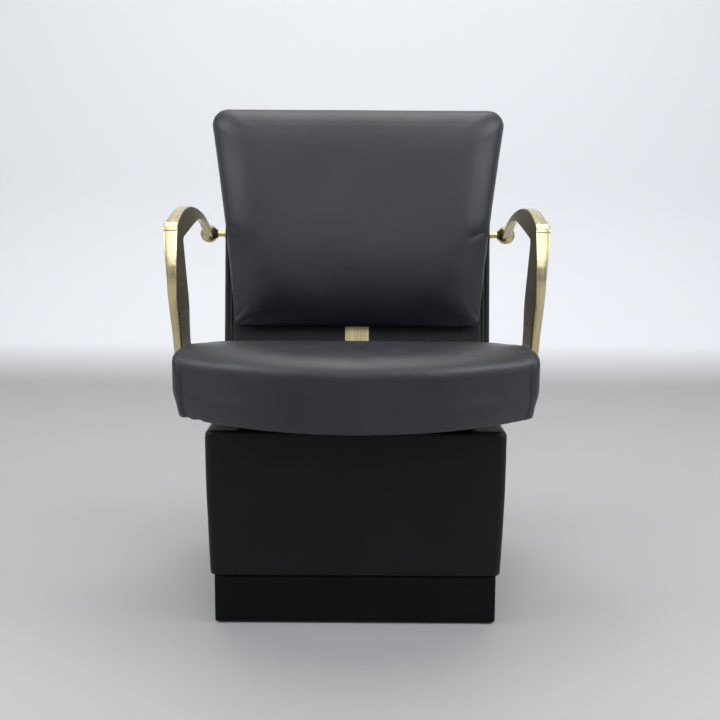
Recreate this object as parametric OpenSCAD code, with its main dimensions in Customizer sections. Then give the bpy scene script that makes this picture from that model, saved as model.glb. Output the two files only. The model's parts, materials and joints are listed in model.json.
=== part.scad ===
// Salon dryer chair on an upholstered box base, with cast arms pinned to the back.
// -Y is the front, +Z is up, and +X is on the right of a viewer who faces the chair.
// The origin is on the floor under the middle of the whole chair.

/* [Feet] */
// Height of the nylon pad on the floor
foot_pad_h = 3.7; // [3:0.1:8]
// Diameter of a foot pad
foot_pad_d = 20; // [16:1:24]
// Diameter of the threaded stem
foot_stem_d = 6; // [5:1:8]
// Length of the stem above its collar
foot_stem_l = 30; // [22:1:50]
// Width across flats of the collar that a spanner turns
foot_collar_w = 10; // [9:1:11]
// Height of that collar
foot_collar_h = 3; // [2:0.5:5]
// How far a foot screws out of its insert
foot_travel = 8; // [4:1:12]
// From the outer faces of the plinth to the middle of a foot
foot_inset = 13.5; // [13:0.5:15]

/* [Base] */
// How far the plinth stands in from the box on each side
plinth_inset = 6.5; // [2:0.5:40]
// Height of the plinth
plinth_h = 92; // [60:1:150]
// How far the plinth stands back under the box, front and rear
toe_recess = 13; // [6:1:60]
// Width of the upholstered box at its lower hem
box_w = 521; // [450:1:620]
// Depth of the box
box_d = 508; // [420:1:540]
// Height of the box
box_h = 265; // [180:1:340]
// How far the padding swells out near the top of the box
box_swell = 5.5; // [0:0.5:8]
// Thickness of the boards of plinth and box
board_t = 18; // [15:1:21]
// Thickness of the padding and vinyl round the box
box_pad_t = 6; // [4:0.5:12]
// Corner radius of the upholstered box
box_r = 14; // [8:1:30]

/* [Seat] */
// Width of the seat cushion at its front corners
seat_w = 606; // [520:2:680]
// How far each side of the seat cushion draws in from the front corner to the rear
seat_taper = 7; // [0:0.5:12]
// Depth of the seat cushion on its centre line
seat_d = 597; // [520:1:640]
// How far the bowed front stands out beyond the front corners
seat_bow = 126; // [60:1:170]
// Radius of the front corners
seat_corner_r = 24; // [12:1:40]
// Radius of the rear corners
seat_rear_r = 18; // [10:1:30]
// Height of the cushion's crown line at the front
seat_front_h = 116; // [90:1:121]
// Height of the crown line where it is highest
seat_peak_h = 121; // [92:1:150]
// Height of the crown line at the rear
seat_rear_h = 61; // [50:1:90]
// From the top of the box to the underside of the seat
riser_h = 43; // [30:1:90]
// Thickness of the seat board
seat_board_t = 15; // [12:1:18]
// How far the vinyl is turned in under the seat board
hem_w = 38; // [20:1:60]

/* [Back] */
// How far the back panel stands in from the widest part of the seat on each side
panel_inset = 27; // [25:1:60]
// Length of the back panel along its slope
panel_l = 520; // [430:1:640]
// Thickness of the back panel
panel_t = 45; // [38:1:60]
// Lean of the back from the vertical, in degrees
back_lean = 9.3; // [4:0.1:16]
// From the underside of the seat up to the lower edge of the panel
panel_lift = 12; // [6:1:40]
// How far the upper corners of the back cushion stand out beyond the panel
cushion_flare = 30; // [0:1:36]
// How far its lower corners stand in from the sides of the panel
cushion_low_inset = 23; // [10:1:50]
// How far the back cushion stands above the panel
cushion_over = 4; // [0:1:20]
// From the lower edge of the panel to the lower edge of the cushion
cushion_lift = 76; // [66:1:110]
// Thickness of the back cushion at its crown
cushion_t = 88; // [70:1:110]
// Radius of the cushion's upper corners
cushion_top_r = 34; // [20:1:60]
// Radius of the cushion's lower corners
cushion_low_r = 24; // [14:1:40]

/* [Bracket] */
// Width of the flat bar between the seat and the back
bar_w = 49; // [30:1:60]
// Thickness of the flat bar
bar_t = 6; // [4:0.5:8]
// Length of the bar's leg under the seat
bar_foot_l = 150; // [120:1:200]
// How far the bar runs up the panel
bar_rise = 230; // [180:1:320]

/* [Arms] */
// Width of the leg's front face at its top
arm_t = 25; // [20:0.5:30]
// Width of the arch behind that face
arm_bar_w = 16.5; // [14:0.5:19]
// Thickness of the leg in its middle
leg_t = 16.5; // [12:0.5:20]
// Thickness of the lower end of the leg
leg_low_t = 16; // [12:0.5:18]
// How far the bar stands inwards of the leg's lower end
arm_step_in = 4; // [0:0.5:6]
// Height of the bar
arm_bar_h = 27; // [24:1:32]
// Top of the arm's front corner above the underside of the seat
arm_front_z = 315; // [285:1:340]
// Top of the arch above the underside of the seat
arm_crest_z = 342.5; // [318:0.5:365]
// From the front of the seat to the front corner of the arm
arm_front_y = 184; // [160:1:220]
// How far the leg bows forward of that corner
leg_bulge = 22; // [12:1:32]
// Width of the leg at its top
leg_top_w = 64; // [54:1:80]
// Width of the leg at its lower end
leg_low_w = 104; // [80:1:112]
// How far the lower end of the leg stands behind the front corner
leg_sweep = 76; // [56:1:90]
// Width of the arm where it meets the ball
arm_neck_w = 18; // [14:0.5:26]
// From the inner face of the arm outwards to the middle of the ball
ball_out = 14; // [11:0.5:18]
// Diameter of the ball at the rear end of the arm
ball_d = 38; // [32:1:44]
// Diameter of the pin between the ball and the back
pin_d = 12.5; // [10:0.5:14]
// From the lower edge of the panel up its slope to the pin
pin_rise = 275; // [240:1:320]
// Length of the pin inside the panel's side rail
pin_grip = 32; // [20:1:38]
// Distance between the two bolts of a leg
arm_bolt_pitch = 40; // [30:1:46]

/* [Fasteners] */
// Shank diameter of the structural bolts
bolt_d = 8; // [6:1:8]
// Head diameter of the structural bolts
bolt_head_d = 14; // [12:1:16]
// Head height of the structural bolts
bolt_head_h = 4.4; // [3:0.1:5]
// Across flats of the hexagon socket in a bolt head
socket_w = 5; // [4:0.5:6]
// Shank diameter of the wood screws
screw_d = 4; // [3:0.5:5]
// Length of the wood screws
screw_l = 40; // [32:1:50]
// Outer diameter of a threaded insert
insert_d = 10; // [8.5:0.5:11]

/* [Materials] */
// Thickness of the vinyl
vinyl_t = 1.5; // [1:0.1:2.5]
// Clearance between a soft piece and what it lies against
soft_gap = 0.3; // [0.2:0.05:0.5]
// Radial clearance of a turning or sliding fit
run_gap = 0.05; // [0.02:0.01:0.1]
// Radial clearance of a bolt in its hole
bolt_gap = 0.25; // [0.1:0.05:0.5]

/* [Hidden] */

$fn = 48;
// Overrun that lets a cut pass clean through a face
cut = 1;

// Heights
plinth_z = foot_pad_h + soft_gap;
box_z = plinth_z + plinth_h;
riser_z = box_z + box_h;
seat_z = riser_z + riser_h;

// Depths, with the origin in the middle of the whole chair
back_gap = bar_t + 3 * soft_gap;
back_run = panel_l * sin(back_lean) + panel_t * cos(back_lean);
overall_d = seat_d + back_gap + back_run;
seat_y = -overall_d / 2;
seat_rear_y = seat_y + seat_d;
back_y = seat_rear_y + back_gap;
back_z = seat_z + panel_lift;
box_rear_y = overall_d / 2;
box_front_y = box_rear_y - box_d;
box_mid_y = box_rear_y - box_d / 2;
plinth_front_y = box_front_y + toe_recess;
plinth_rear_y = box_rear_y - toe_recess;
plinth_d = plinth_rear_y - plinth_front_y;

// Carcass of the box inside its padding
core_w = box_w - 2 * box_pad_t;
core_d = box_d - 2 * box_pad_t;
core_front_y = box_front_y + box_pad_t;
core_rear_y = box_rear_y - box_pad_t;
core_h = box_h - box_pad_t;
block_w = 2 * board_t;

// Plinth boards inside their vinyl
plinth_w = box_w - 2 * plinth_inset;
plinth_out_x = plinth_w / 2 - vinyl_t;
plinth_out_front = plinth_front_y + vinyl_t;
plinth_out_rear = plinth_rear_y - vinyl_t;
foot_x = plinth_w / 2 - foot_inset;
foot_front_y = plinth_front_y + foot_inset;
foot_rear_y = plinth_rear_y - foot_inset;
foot_nub_d = foot_stem_d * 0.6;
foot_nub_h = foot_pad_h * 0.5;
foot_pocket_d = foot_collar_w * 1.3;
foot_pocket_h = foot_collar_h + 2 * soft_gap;
foot_insert_l = foot_stem_l * 0.5;

// Risers between the box and the seat
riser_w = 42;
riser_x = core_w / 2 - 3 * riser_w / 2;
riser_front_y = box_front_y + 2 * board_t;
riser_rear_y = seat_rear_y - 2 * board_t;
riser_l = riser_rear_y - riser_front_y;
seat_bolt_inset = 2 * riser_w;
seat_bolt_ys = [riser_front_y + seat_bolt_inset, riser_rear_y - seat_bolt_inset];

// Plan of the seat: a power curve for the bow, then an arc round each corner
seat_bow_power = 2.1;
seat_half_w = seat_w / 2;
seat_rear_half_w = seat_half_w - seat_taper;
seat_bow_angle = atan(seat_bow_power * seat_bow / seat_half_w);
seat_bow_x = seat_half_w - seat_corner_r * (1 - sin(seat_bow_angle));
seat_mid_y = seat_y + seat_d / 2;
seat_side_front = seat_bow + seat_corner_r * cos(seat_bow_angle);
seat_side_rear = seat_d - seat_rear_r;
// Share of the cushion's height that its upright side takes
seat_side_share = 0.8;
// Share of the depth at which the crown line is highest
seat_peak_share = 0.24;
// Share of the half width that the rounded upper edge takes, and its height as a share
seat_edge_share = 0.08;
seat_flat_share = 0.99;
// Steps round the plan and over the crown of the seat
bow_steps = 8;
corner_steps = 3;
edge_steps = 5;
crown_steps = 7;
seat_board_inset = vinyl_t + soft_gap;
seat_tuck = 8;
seat_board_z = seat_z + vinyl_t;
seat_foam_z = seat_board_z + seat_board_t;

// Back
panel_w = seat_w - 2 * panel_inset;
cushion_half_top = panel_w / 2 + cushion_flare;
cushion_half_low = panel_w / 2 - cushion_low_inset;
cushion_l = panel_l - cushion_lift + cushion_over;
cushion_taper_power = 1.25;
cushion_side_share = 0.5;
cushion_tuck = 8;
cushion_side_steps = 7;
cushion_board_t = 12;
cushion_board_inset = 26;
panel_r = 5;
back_board_t = 9;
rail_w = 45;
rail_y = vinyl_t + back_board_t;
rail_t = panel_t - back_board_t - 2 * vinyl_t;
pin_y = rail_y + rail_t / 2;
pin_world_y = back_y + pin_y * cos(back_lean) + pin_rise * sin(back_lean);
pin_world_z = back_z - pin_y * sin(back_lean) + pin_rise * cos(back_lean);
bar_bend_r = bar_t;
bend_steps = 6;
bar_bolt_rise = 60;
bar_bolt_pitch = 76;

// Arms
leg_front_y = seat_y + arm_front_y;
arm_in_x = seat_side_x(arm_front_y) + soft_gap;
arm_top_in_x = arm_in_x - arm_step_in;
arm_top_out_x = arm_top_in_x + arm_t;
leg_out_x = arm_top_in_x + leg_t;
leg_low_out_x = arm_in_x + leg_low_t;
arm_nose = arm_bar_h / 2;
arm_top_z = seat_z + arm_front_z;
arm_low_z = seat_z + arm_bar_h * 0.3;
arm_curve_steps = 14;
corner_curve_steps = 6;
// Shares of the arm's height at which its front view bends, from the seat upwards
leg_bend_share = 0.3;
leg_knee_share = 0.6;
arm_shoulder_shares = [0.76, 0.96];
ball_x = arm_top_in_x + ball_out;
ball_root = ball_d * 0.26;
arm_neck_l = 7 * arm_bar_h;
ball_boss_d = pin_d * 1.4;
arm_bolt_mid_y = leg_front_y + leg_sweep + leg_low_w / 2;
arm_bolt_ys = [arm_bolt_mid_y - arm_bolt_pitch / 2, arm_bolt_mid_y + arm_bolt_pitch / 2];
arm_block_w = 40;
arm_block_h = 44;
arm_block_l = 150;
arm_block_back_y = arm_bolt_mid_y - seat_y + arm_block_l / 2;
arm_block_x = seat_side_x(arm_block_back_y) - seat_board_inset - seat_tuck / 2;
arm_bolt_z = seat_z + vinyl_t + seat_board_t + arm_block_h / 2;
arm_insert_l = 24;
collar_d = pin_d * 1.6;
collar_t = 3;
set_screw_d = 5;

vinyl = "#2b2d33";
vinyl_dark = "#1d1e21";
foam = "#e6d9a2";
ply = "#c49a6c";
hardwood = "#a97b4f";
steel = "#b8bcc0";
gold = "#d8c48c";
nylon = "#5b4332";

// Half width of the seat at a distance behind its front, between the corner arcs
function seat_side_x(y) =
    seat_half_w
    - (seat_half_w - seat_rear_half_w) * (y - seat_side_front) / (seat_side_rear - seat_side_front);

// Points of a rounded rectangle, counter-clockwise, half sizes hx and hy
function rounded_rect(hx, hy, r, steps) = [
    for (c = [0:3])
        for (i = [0:steps])
            let (
                a = 90 * c + 90 * i / steps,
                sx = (c == 0 || c == 3) ? 1 : -1,
                sy = c < 2 ? 1 : -1
            )
            [sx * (hx - r) + r * cos(a), sy * (hy - r) + r * sin(a)]
];

// Point at share t of a cubic curve with four control points
function curve_point(p, t) =
    pow(1 - t, 3) * p[0] + 3 * pow(1 - t, 2) * t * p[1]
    + 3 * (1 - t) * t * t * p[2] + pow(t, 3) * p[3];

// Points along a cubic curve, without its last point
function curve(p, steps) = [for (i = [0:steps - 1]) curve_point(p, i / steps)];

// Middle of a ring of points
function ring_middle(ring) =
    let (n = len(ring), one = [for (p = ring) 1])
    (one * ring) / n;

// Closed solid through a stack of rings that all have the same number of points
module ring_solid(rings) {
    n = len(rings[0]);
    m = len(rings);
    points = concat(
        [for (ring = rings) each ring],
        [ring_middle(rings[0]), ring_middle(rings[m - 1])]
    );
    sides = [
        for (k = [0:m - 2])
            for (i = [0:n - 1])
                let (j = (i + 1) % n)
                each [
                    [k * n + i, (k + 1) * n + j, k * n + j],
                    [k * n + i, (k + 1) * n + i, (k + 1) * n + j]
                ]
    ];
    low = [for (i = [0:n - 1]) [m * n, i, (i + 1) % n]];
    high = [for (i = [0:n - 1]) [m * n + 1, (m - 1) * n + (i + 1) % n, (m - 1) * n + i]];
    polyhedron(points, concat(sides, low, high));
}

// Copies its children to the other side of the chair as well
module both_sides() {
    children();
    mirror([1, 0, 0]) children();
}

// Places its children in the frame of the back panel: x across, y rearwards, z up its slope
module on_back() {
    translate([0, back_y, back_z]) rotate([-back_lean, 0, 0]) children();
}

// Button-head bolt with a hexagon socket, head at the origin, shank along +Z
module button_bolt(length) {
    difference() {
        union() {
            cylinder(d = bolt_d, h = length);
            translate([0, 0, -bolt_head_h]) cylinder(d = bolt_head_d, h = bolt_head_h);
        }
        translate([0, 0, -bolt_head_h - cut])
            cylinder(d = socket_w / cos(30), h = bolt_head_h / 2 + cut, $fn = 6);
    }
}

// Threaded insert with its bore, along +Z
module insert(length, outer_d, bore_d) {
    difference() {
        cylinder(d = outer_d, h = length);
        translate([0, 0, -cut]) cylinder(d = bore_d + 2 * run_gap, h = length + 2 * cut);
    }
}

// Feet

module foot_pad() {
    color(nylon)
        difference() {
            union() {
                cylinder(d = foot_pad_d, h = foot_pad_h * 0.6);
                translate([0, 0, foot_pad_h * 0.6])
                    cylinder(d1 = foot_pad_d, d2 = foot_pad_d * 0.8, h = foot_pad_h * 0.4);
            }
            translate([0, 0, foot_pad_h - foot_nub_h - soft_gap])
                cylinder(d = foot_nub_d + 2 * run_gap, h = foot_nub_h + soft_gap + cut);
        }
}

module foot_stem() {
    color(steel)
        translate([0, 0, foot_pad_h + soft_gap]) {
            translate([0, 0, -foot_nub_h - soft_gap / 2])
                cylinder(d = foot_nub_d, h = foot_nub_h + soft_gap);
            cylinder(d = foot_collar_w / cos(30), h = foot_collar_h, $fn = 6);
            translate([0, 0, foot_collar_h / 2])
                cylinder(d = foot_stem_d, h = foot_stem_l + foot_collar_h / 2);
        }
}

// Room in a plinth board for the collar, the insert and the stem of a foot
module foot_hole() {
    translate([0, 0, plinth_z - cut]) cylinder(d = foot_pocket_d, h = foot_pocket_h + cut);
    translate([0, 0, plinth_z]) cylinder(d = insert_d, h = foot_pocket_h + foot_insert_l);
    translate([0, 0, plinth_z])
        cylinder(d = foot_stem_d + 2 * bolt_gap, h = foot_stem_l + foot_travel + foot_pocket_h);
}

module foot_inserts() {
    color(steel)
        for (x = [-foot_x, foot_x])
            for (y = [foot_front_y, foot_rear_y])
                translate([x, y, plinth_z + foot_pocket_h])
                    insert(foot_insert_l, insert_d, foot_stem_d);
}

// Plinth

module plinth_cross_board(y) {
    color(ply)
        difference() {
            translate([-plinth_out_x, y, plinth_z + vinyl_t])
                cube([2 * plinth_out_x, board_t, plinth_h - vinyl_t]);
            for (x = [-foot_x, foot_x])
                for (fy = [foot_front_y, foot_rear_y])
                    translate([x, fy, 0]) foot_hole();
            plinth_screw_holes();
        }
}

module plinth_side_board() {
    color(ply)
        difference() {
            translate([plinth_out_x - board_t, plinth_out_front + board_t, plinth_z + vinyl_t])
                cube([board_t, plinth_out_rear - plinth_out_front - 2 * board_t, plinth_h - vinyl_t]);
            plinth_screw_holes();
        }
}

// Vinyl sleeve round the plinth, turned in under the boards
module plinth_cover() {
    color(vinyl_dark)
        difference() {
            translate([-plinth_w / 2, plinth_front_y, plinth_z])
                cube([plinth_w, plinth_d, plinth_h]);
            translate([-plinth_out_x, plinth_out_front, plinth_z + vinyl_t])
                cube([2 * plinth_out_x, plinth_out_rear - plinth_out_front, plinth_h + cut]);
            translate([-plinth_out_x + board_t, plinth_out_front + board_t, plinth_z - cut])
                cube([
                    2 * (plinth_out_x - board_t),
                    plinth_out_rear - plinth_out_front - 2 * board_t,
                    2 * cut + vinyl_t
                ]);
            for (x = [-foot_x, foot_x])
                for (y = [foot_front_y, foot_rear_y])
                    translate([x, y, 0]) foot_hole();
        }
}

// Places of the screws that hold the plinth to the floor of the box
module plinth_screw_places() {
    for (x = [-core_w / 4, core_w / 4])
        for (y = [plinth_out_front + board_t / 2, plinth_out_rear - board_t / 2])
            translate([x, y, box_z + board_t - screw_l]) children();
    for (x = [-plinth_out_x + board_t / 2, plinth_out_x - board_t / 2])
        for (y = [box_mid_y - box_d / 4, box_mid_y + box_d / 4])
            translate([x, y, box_z + board_t - screw_l]) children();
}

module plinth_screw() {
    cylinder(d = screw_d, h = screw_l - screw_d / 2);
    translate([0, 0, screw_l - screw_d / 2]) cylinder(d1 = screw_d, d2 = 2 * screw_d, h = screw_d / 2);
}

module plinth_screw_holes() {
    plinth_screw_places() cylinder(d = screw_d, h = screw_l);
}

module plinth_screws() {
    color(steel) plinth_screw_places() plinth_screw();
}

// Box

module box_floor() {
    color(ply)
        difference() {
            translate([-core_w / 2, core_front_y, box_z]) cube([core_w, core_d, board_t]);
            plinth_screw_places() plinth_screw();
        }
}

module box_cross_board(y) {
    color(ply)
        translate([-core_w / 2, y, box_z + board_t]) cube([core_w, board_t, core_h - 2 * board_t]);
}

module box_side_board() {
    color(ply)
        translate([core_w / 2 - board_t, core_front_y + board_t, box_z + board_t])
            cube([board_t, core_d - 2 * board_t, core_h - 2 * board_t]);
}

// Holes for the long bolts that hold the seat to the box
module seat_bolt_holes() {
    for (x = [-riser_x, riser_x])
        for (y = seat_bolt_ys)
            translate([x, y, box_z]) cylinder(d = bolt_d + 2 * bolt_gap, h = seat_z - box_z + board_t);
}

module box_top() {
    color(ply)
        difference() {
            translate([-core_w / 2, core_front_y, box_z + core_h - board_t])
                cube([core_w, core_d, board_t]);
            seat_bolt_holes();
        }
}

// Glue blocks up the four inner corners of the box
module box_corner_blocks() {
    color(hardwood)
        for (x = [-core_w / 2 + board_t, core_w / 2 - board_t - block_w])
            for (y = [core_front_y + board_t, core_rear_y - board_t - block_w])
                translate([x, y, box_z + board_t])
                    cube([block_w, block_w, core_h - 2 * board_t]);
}

// Ring of the box cover at a height, grown outwards by a swell
function box_ring(z, swell, r) = [
    for (p = rounded_rect(box_w / 2 + swell, box_d / 2, r, corner_steps))
        [p[0], p[1] + box_mid_y + (p[1] < 0 ? -swell / 2 : 0), box_z + z]
];

// Padded vinyl cover of the box, open below, swelling a little towards its top
module box_cover() {
    color(vinyl_dark)
        difference() {
            ring_solid([
                box_ring(0, 0, box_r),
                box_ring(box_h * 0.35, box_swell * 0.5, box_r),
                box_ring(box_h * 0.7, box_swell * 0.9, box_r),
                box_ring(box_h * 0.9, box_swell, box_r),
                box_ring(box_h - box_pad_t * 0.6, box_swell * 0.6, box_r),
                box_ring(box_h, -box_pad_t * 0.5, box_r)
            ]);
            translate([-core_w / 2, core_front_y, box_z - cut]) cube([core_w, core_d, core_h + cut]);
            seat_bolt_holes();
        }
}

// Risers

module riser() {
    color(hardwood)
        difference() {
            translate([riser_x - riser_w / 2, riser_front_y, riser_z])
                cube([riser_w, riser_l, riser_h]);
            seat_bolt_holes();
        }
}

// Long bolts from inside the box up into the seat board
module seat_bolts() {
    color(steel)
        for (x = [-riser_x, riser_x])
            for (y = seat_bolt_ys)
                translate([x, y, box_z + core_h - board_t])
                    button_bolt(board_t + box_pad_t + riser_h + vinyl_t + seat_board_t);
}

// Seat

// Plan of the seat, counter-clockwise from the front corner on the -X side, in by an inset
function seat_plan(inset) =
    let (
        a = seat_bow_angle,
        xs = seat_bow_x,
        r = seat_corner_r,
        rr = seat_rear_r,
        arc_x = xs - r * sin(a),
        arc_y = seat_bow + r * cos(a),
        front = [
            for (i = [-bow_steps:bow_steps])
                let (u = i / bow_steps)
                [xs * u, seat_bow * pow(abs(u), seat_bow_power)]
        ],
        front_arc = [
            for (i = [1:corner_steps])
                let (b = a + (90 - a) * i / corner_steps)
                [arc_x + r * sin(b), arc_y - r * cos(b)]
        ],
        side = [
            for (i = [1:2])
                let (y = arc_y + (seat_side_rear - arc_y) * i / 3)
                [seat_side_x(y), y]
        ],
        rear_arc = [
            for (i = [0:corner_steps])
                let (b = 90 * i / corner_steps)
                [seat_rear_half_w - rr + rr * cos(b), seat_side_rear + rr * sin(b)]
        ],
        rear = [for (i = [1:4]) [(seat_rear_half_w - rr) * (1 - i / 2.5), seat_d]],
        right = concat(front_arc, side, rear_arc),
        left = [for (i = [len(right) - 1:-1:0]) [-right[i][0], right[i][1]]],
        all = concat(front, right, rear, left),
        mid = seat_d / 2
    )
    [
        for (p = all)
            [
                p[0] * (seat_half_w - inset) / seat_half_w,
                seat_y + mid + (p[1] - mid) * (mid - inset) / mid
            ]
    ];

// Height of the crown line above the underside of the seat, by depth: a rise, then a steady fall
function seat_crown(y) =
    let (
        u = (y - seat_y) / seat_d,
        p = seat_peak_share
    )
    u < p
        ? seat_peak_h - (seat_peak_h - seat_front_h) * pow((p - u) / p, 2)
        : seat_peak_h - (seat_peak_h - seat_rear_h) * pow((u - p) / (1 - p), 1.15);

// Ring of the seat cushion: the plan drawn in by a share and lifted by a share of the crown
function seat_ring(plan, scale_share, height_share, inset) = [
    for (p = plan)
        let (
            x = p[0] * scale_share,
            y = seat_mid_y + (p[1] - seat_mid_y) * scale_share
        )
        [x, y, seat_z + inset + (seat_crown(y) - 2 * inset) * height_share]
];

// Seat cushion with upright sides, a rounded upper edge and a slight crown, drawn in by an inset
module seat_form(inset) {
    plan = seat_plan(inset);
    side = seat_side_share;
    flat = seat_flat_share;
    tuck_share = 1 - seat_tuck / seat_half_w;
    seam_share = 1 - seat_tuck / 4 / seat_half_w;
    ring_solid(concat(
        [
            seat_ring(plan, tuck_share, 0, inset),
            seat_ring(plan, (1 + tuck_share) / 2, side * 0.16, inset),
            seat_ring(plan, 1, side * 0.6, inset)
        ],
        [
            for (k = [0:edge_steps])
                let (a = 90 * k / edge_steps)
                seat_ring(
                    plan,
                    seam_share - seat_edge_share * (1 - cos(a)),
                    side + (flat - side) * sin(a),
                    inset
                )
        ],
        [seat_ring(plan, 0.55, (1 + flat) / 2, inset), seat_ring(plan, 0.12, 1, inset)]
    ));
}

// Vinyl cover of the seat, turned in under the board as a hem
module seat_cover() {
    color(vinyl)
        difference() {
            seat_form(0);
            seat_form(vinyl_t);
            translate([0, 0, seat_z - cut])
                linear_extrude(cut + vinyl_t + cut) polygon(seat_plan(hem_w));
            seat_bolt_holes();
            bar_bolt_holes();
            arm_bolt_holes();
            mirror([1, 0, 0]) arm_bolt_holes();
        }
}

// Bow-fronted plywood board that carries the seat
module seat_board() {
    color(ply)
        difference() {
            translate([0, 0, seat_board_z])
                linear_extrude(seat_board_t) polygon(seat_plan(seat_board_inset + seat_tuck));
            seat_tee_nut_places() cylinder(d = insert_d, h = 2 * seat_board_t, center = true);
        }
}

// Places of the tee nuts in the seat board, at its upper face
module seat_tee_nut_places() {
    for (x = [-riser_x, riser_x])
        for (y = seat_bolt_ys)
            translate([x, y, seat_board_z + seat_board_t / 2]) children();
    for (y = bar_foot_bolt_ys)
        translate([0, y, seat_board_z + seat_board_t / 2]) children();
}

module seat_tee_nuts() {
    color(steel)
        seat_tee_nut_places()
            translate([0, 0, -seat_board_t / 2]) insert(seat_board_t, insert_d, bolt_d);
}

// Hardwood block on each side of the board, where the leg of an arm is bolted
module arm_block() {
    color(hardwood)
        difference() {
            translate([
                arm_block_x - arm_block_w,
                arm_bolt_mid_y - arm_block_l / 2,
                seat_foam_z
            ])
                cube([arm_block_w, arm_block_l, arm_block_h]);
            arm_bolt_holes();
            arm_insert_places() cylinder(d = insert_d, h = arm_insert_l);
        }
}

module seat_foam() {
    color(foam)
        difference() {
            seat_form(vinyl_t + soft_gap);
            translate([-seat_half_w, seat_y, seat_z - cut])
                cube([seat_w, seat_d, cut + vinyl_t + seat_board_t]);
            both_sides()
                translate([
                    arm_block_x - arm_block_w - soft_gap,
                    arm_bolt_mid_y - arm_block_l / 2 - soft_gap,
                    seat_foam_z - cut
                ])
                    cube([
                        arm_block_w + seat_board_inset + seat_tuck + 2 * soft_gap,
                        arm_block_l + 2 * soft_gap,
                        arm_block_h + cut + soft_gap
                    ]);
        }
}

// Thin black cloth that closes the underside inside the hem
module dust_cover() {
    color("#101010")
        difference() {
            translate([0, 0, seat_z])
                linear_extrude(vinyl_t - soft_gap) polygon(seat_plan(hem_w + soft_gap));
            seat_bolt_holes();
            bar_bolt_holes();
        }
}

// Bracket

// Corner between the foot of the bar and its upright, where the inner faces would meet the bend
bar_top_z = seat_z - soft_gap;
bar_foot_z = bar_top_z - bar_t;
bar_face_y = -bar_t - soft_gap;
bar_touch_z = bar_top_z + bar_bend_r * (1 - sin(back_lean));
bar_touch_rise = (bar_touch_z - back_z + bar_face_y * sin(back_lean)) / cos(back_lean);
bar_touch_y = back_y + bar_face_y * cos(back_lean) + bar_touch_rise * sin(back_lean);
bar_bend_y = bar_touch_y - bar_bend_r * cos(back_lean);
bar_foot_bolt_ys = [bar_bend_y - bar_foot_l * 0.3, bar_bend_y - bar_foot_l * 0.75];
bar_bolt_rises = [bar_bolt_rise + cushion_lift, bar_bolt_rise + cushion_lift + bar_bolt_pitch];

// Point of the back's frame in the side view of the chair, y rearwards and z up
function on_back_side(y, z) = [
    back_y + y * cos(back_lean) + z * sin(back_lean),
    back_z - y * sin(back_lean) + z * cos(back_lean)
];

// Points round the bend of the bar at a radius, from the foot up to the upright
function bar_bend(r) = [
    for (i = [0:bend_steps])
        let (a = -90 + (90 - back_lean) * i / bend_steps)
        [bar_bend_y + r * cos(a), bar_top_z + bar_bend_r + r * sin(a)]
];

// Side view of the bar, with its foot, bend and upright
function bar_side() =
    let (outer = bar_bend(bar_bend_r + bar_t))
    concat(
        [[bar_bend_y - bar_foot_l, bar_top_z]],
        bar_bend(bar_bend_r),
        [on_back_side(bar_face_y, bar_rise), on_back_side(-soft_gap, bar_rise)],
        [for (i = [bend_steps:-1:0]) outer[i]],
        [[bar_bend_y - bar_foot_l, bar_foot_z]]
    );

// Holes for the bolts between the bar and the seat board
module bar_bolt_holes() {
    for (y = bar_foot_bolt_ys)
        translate([0, y, bar_foot_z - cut])
            cylinder(d = bolt_d + 2 * bolt_gap, h = bar_t + soft_gap + seat_board_t + 2 * cut);
}

// Holes for the bolts between the bar and the panel, in the frame of the back
module bar_panel_holes() {
    for (z = bar_bolt_rises)
        translate([0, -bar_t - cut, z]) rotate([-90, 0, 0])
            cylinder(d = bolt_d + 2 * bolt_gap, h = bar_t + vinyl_t + 2 * cut);
}

// Flat bar bent under the seat and up the face of the panel
module bracket_bar() {
    color(gold)
        difference() {
            translate([-bar_w / 2, 0, 0]) rotate([90, 0, 90])
                linear_extrude(bar_w) polygon(bar_side());
            bar_bolt_holes();
            on_back() bar_panel_holes();
        }
}

module bracket_bolts() {
    color(gold) {
        for (y = bar_foot_bolt_ys)
            translate([0, y, bar_foot_z]) button_bolt(bar_t + soft_gap + vinyl_t + seat_board_t);
        on_back()
            for (z = bar_bolt_rises)
                translate([0, bar_face_y, z]) rotate([-90, 0, 0])
                    button_bolt(bar_t + soft_gap + vinyl_t + back_board_t);
    }
}

// Back panel

module back_board() {
    color(ply)
        on_back()
            difference() {
                translate([-panel_w / 2 + vinyl_t, vinyl_t, vinyl_t])
                    cube([panel_w - 2 * vinyl_t, back_board_t, panel_l - 2 * vinyl_t]);
                for (z = bar_bolt_rises)
                    translate([0, 0, z]) rotate([-90, 0, 0]) cylinder(d = bolt_d, h = panel_t);
                cushion_screw_holes();
            }
}

// Hole for the pin of an arm in the +X side of the panel, in the frame of the back
module arm_pin_hole() {
    translate([panel_w / 2 - vinyl_t - pin_grip, pin_y, pin_rise])
        rotate([0, 90, 0]) cylinder(d = pin_d, h = vinyl_t + pin_grip + cut);
}

module back_side_rail() {
    color(hardwood)
        on_back()
            difference() {
                translate([panel_w / 2 - vinyl_t - rail_w, rail_y, vinyl_t])
                    cube([rail_w, rail_t, panel_l - 2 * vinyl_t]);
                arm_pin_hole();
            }
}

module back_cross_rail(z) {
    color(hardwood)
        on_back()
            difference() {
                translate([-panel_w / 2 + vinyl_t + rail_w, rail_y, z])
                    cube([panel_w - 2 * vinyl_t - 2 * rail_w, rail_t, rail_w]);
                cushion_screw_holes();
            }
}

// Ring of the panel cover at a depth, its edge drawn in by an inset
function panel_ring(y, inset) = [
    for (p = rounded_rect(panel_w / 2 - inset, panel_l / 2 - inset, panel_r, corner_steps))
        [p[0], y, panel_l / 2 - p[1]]
];

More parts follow.
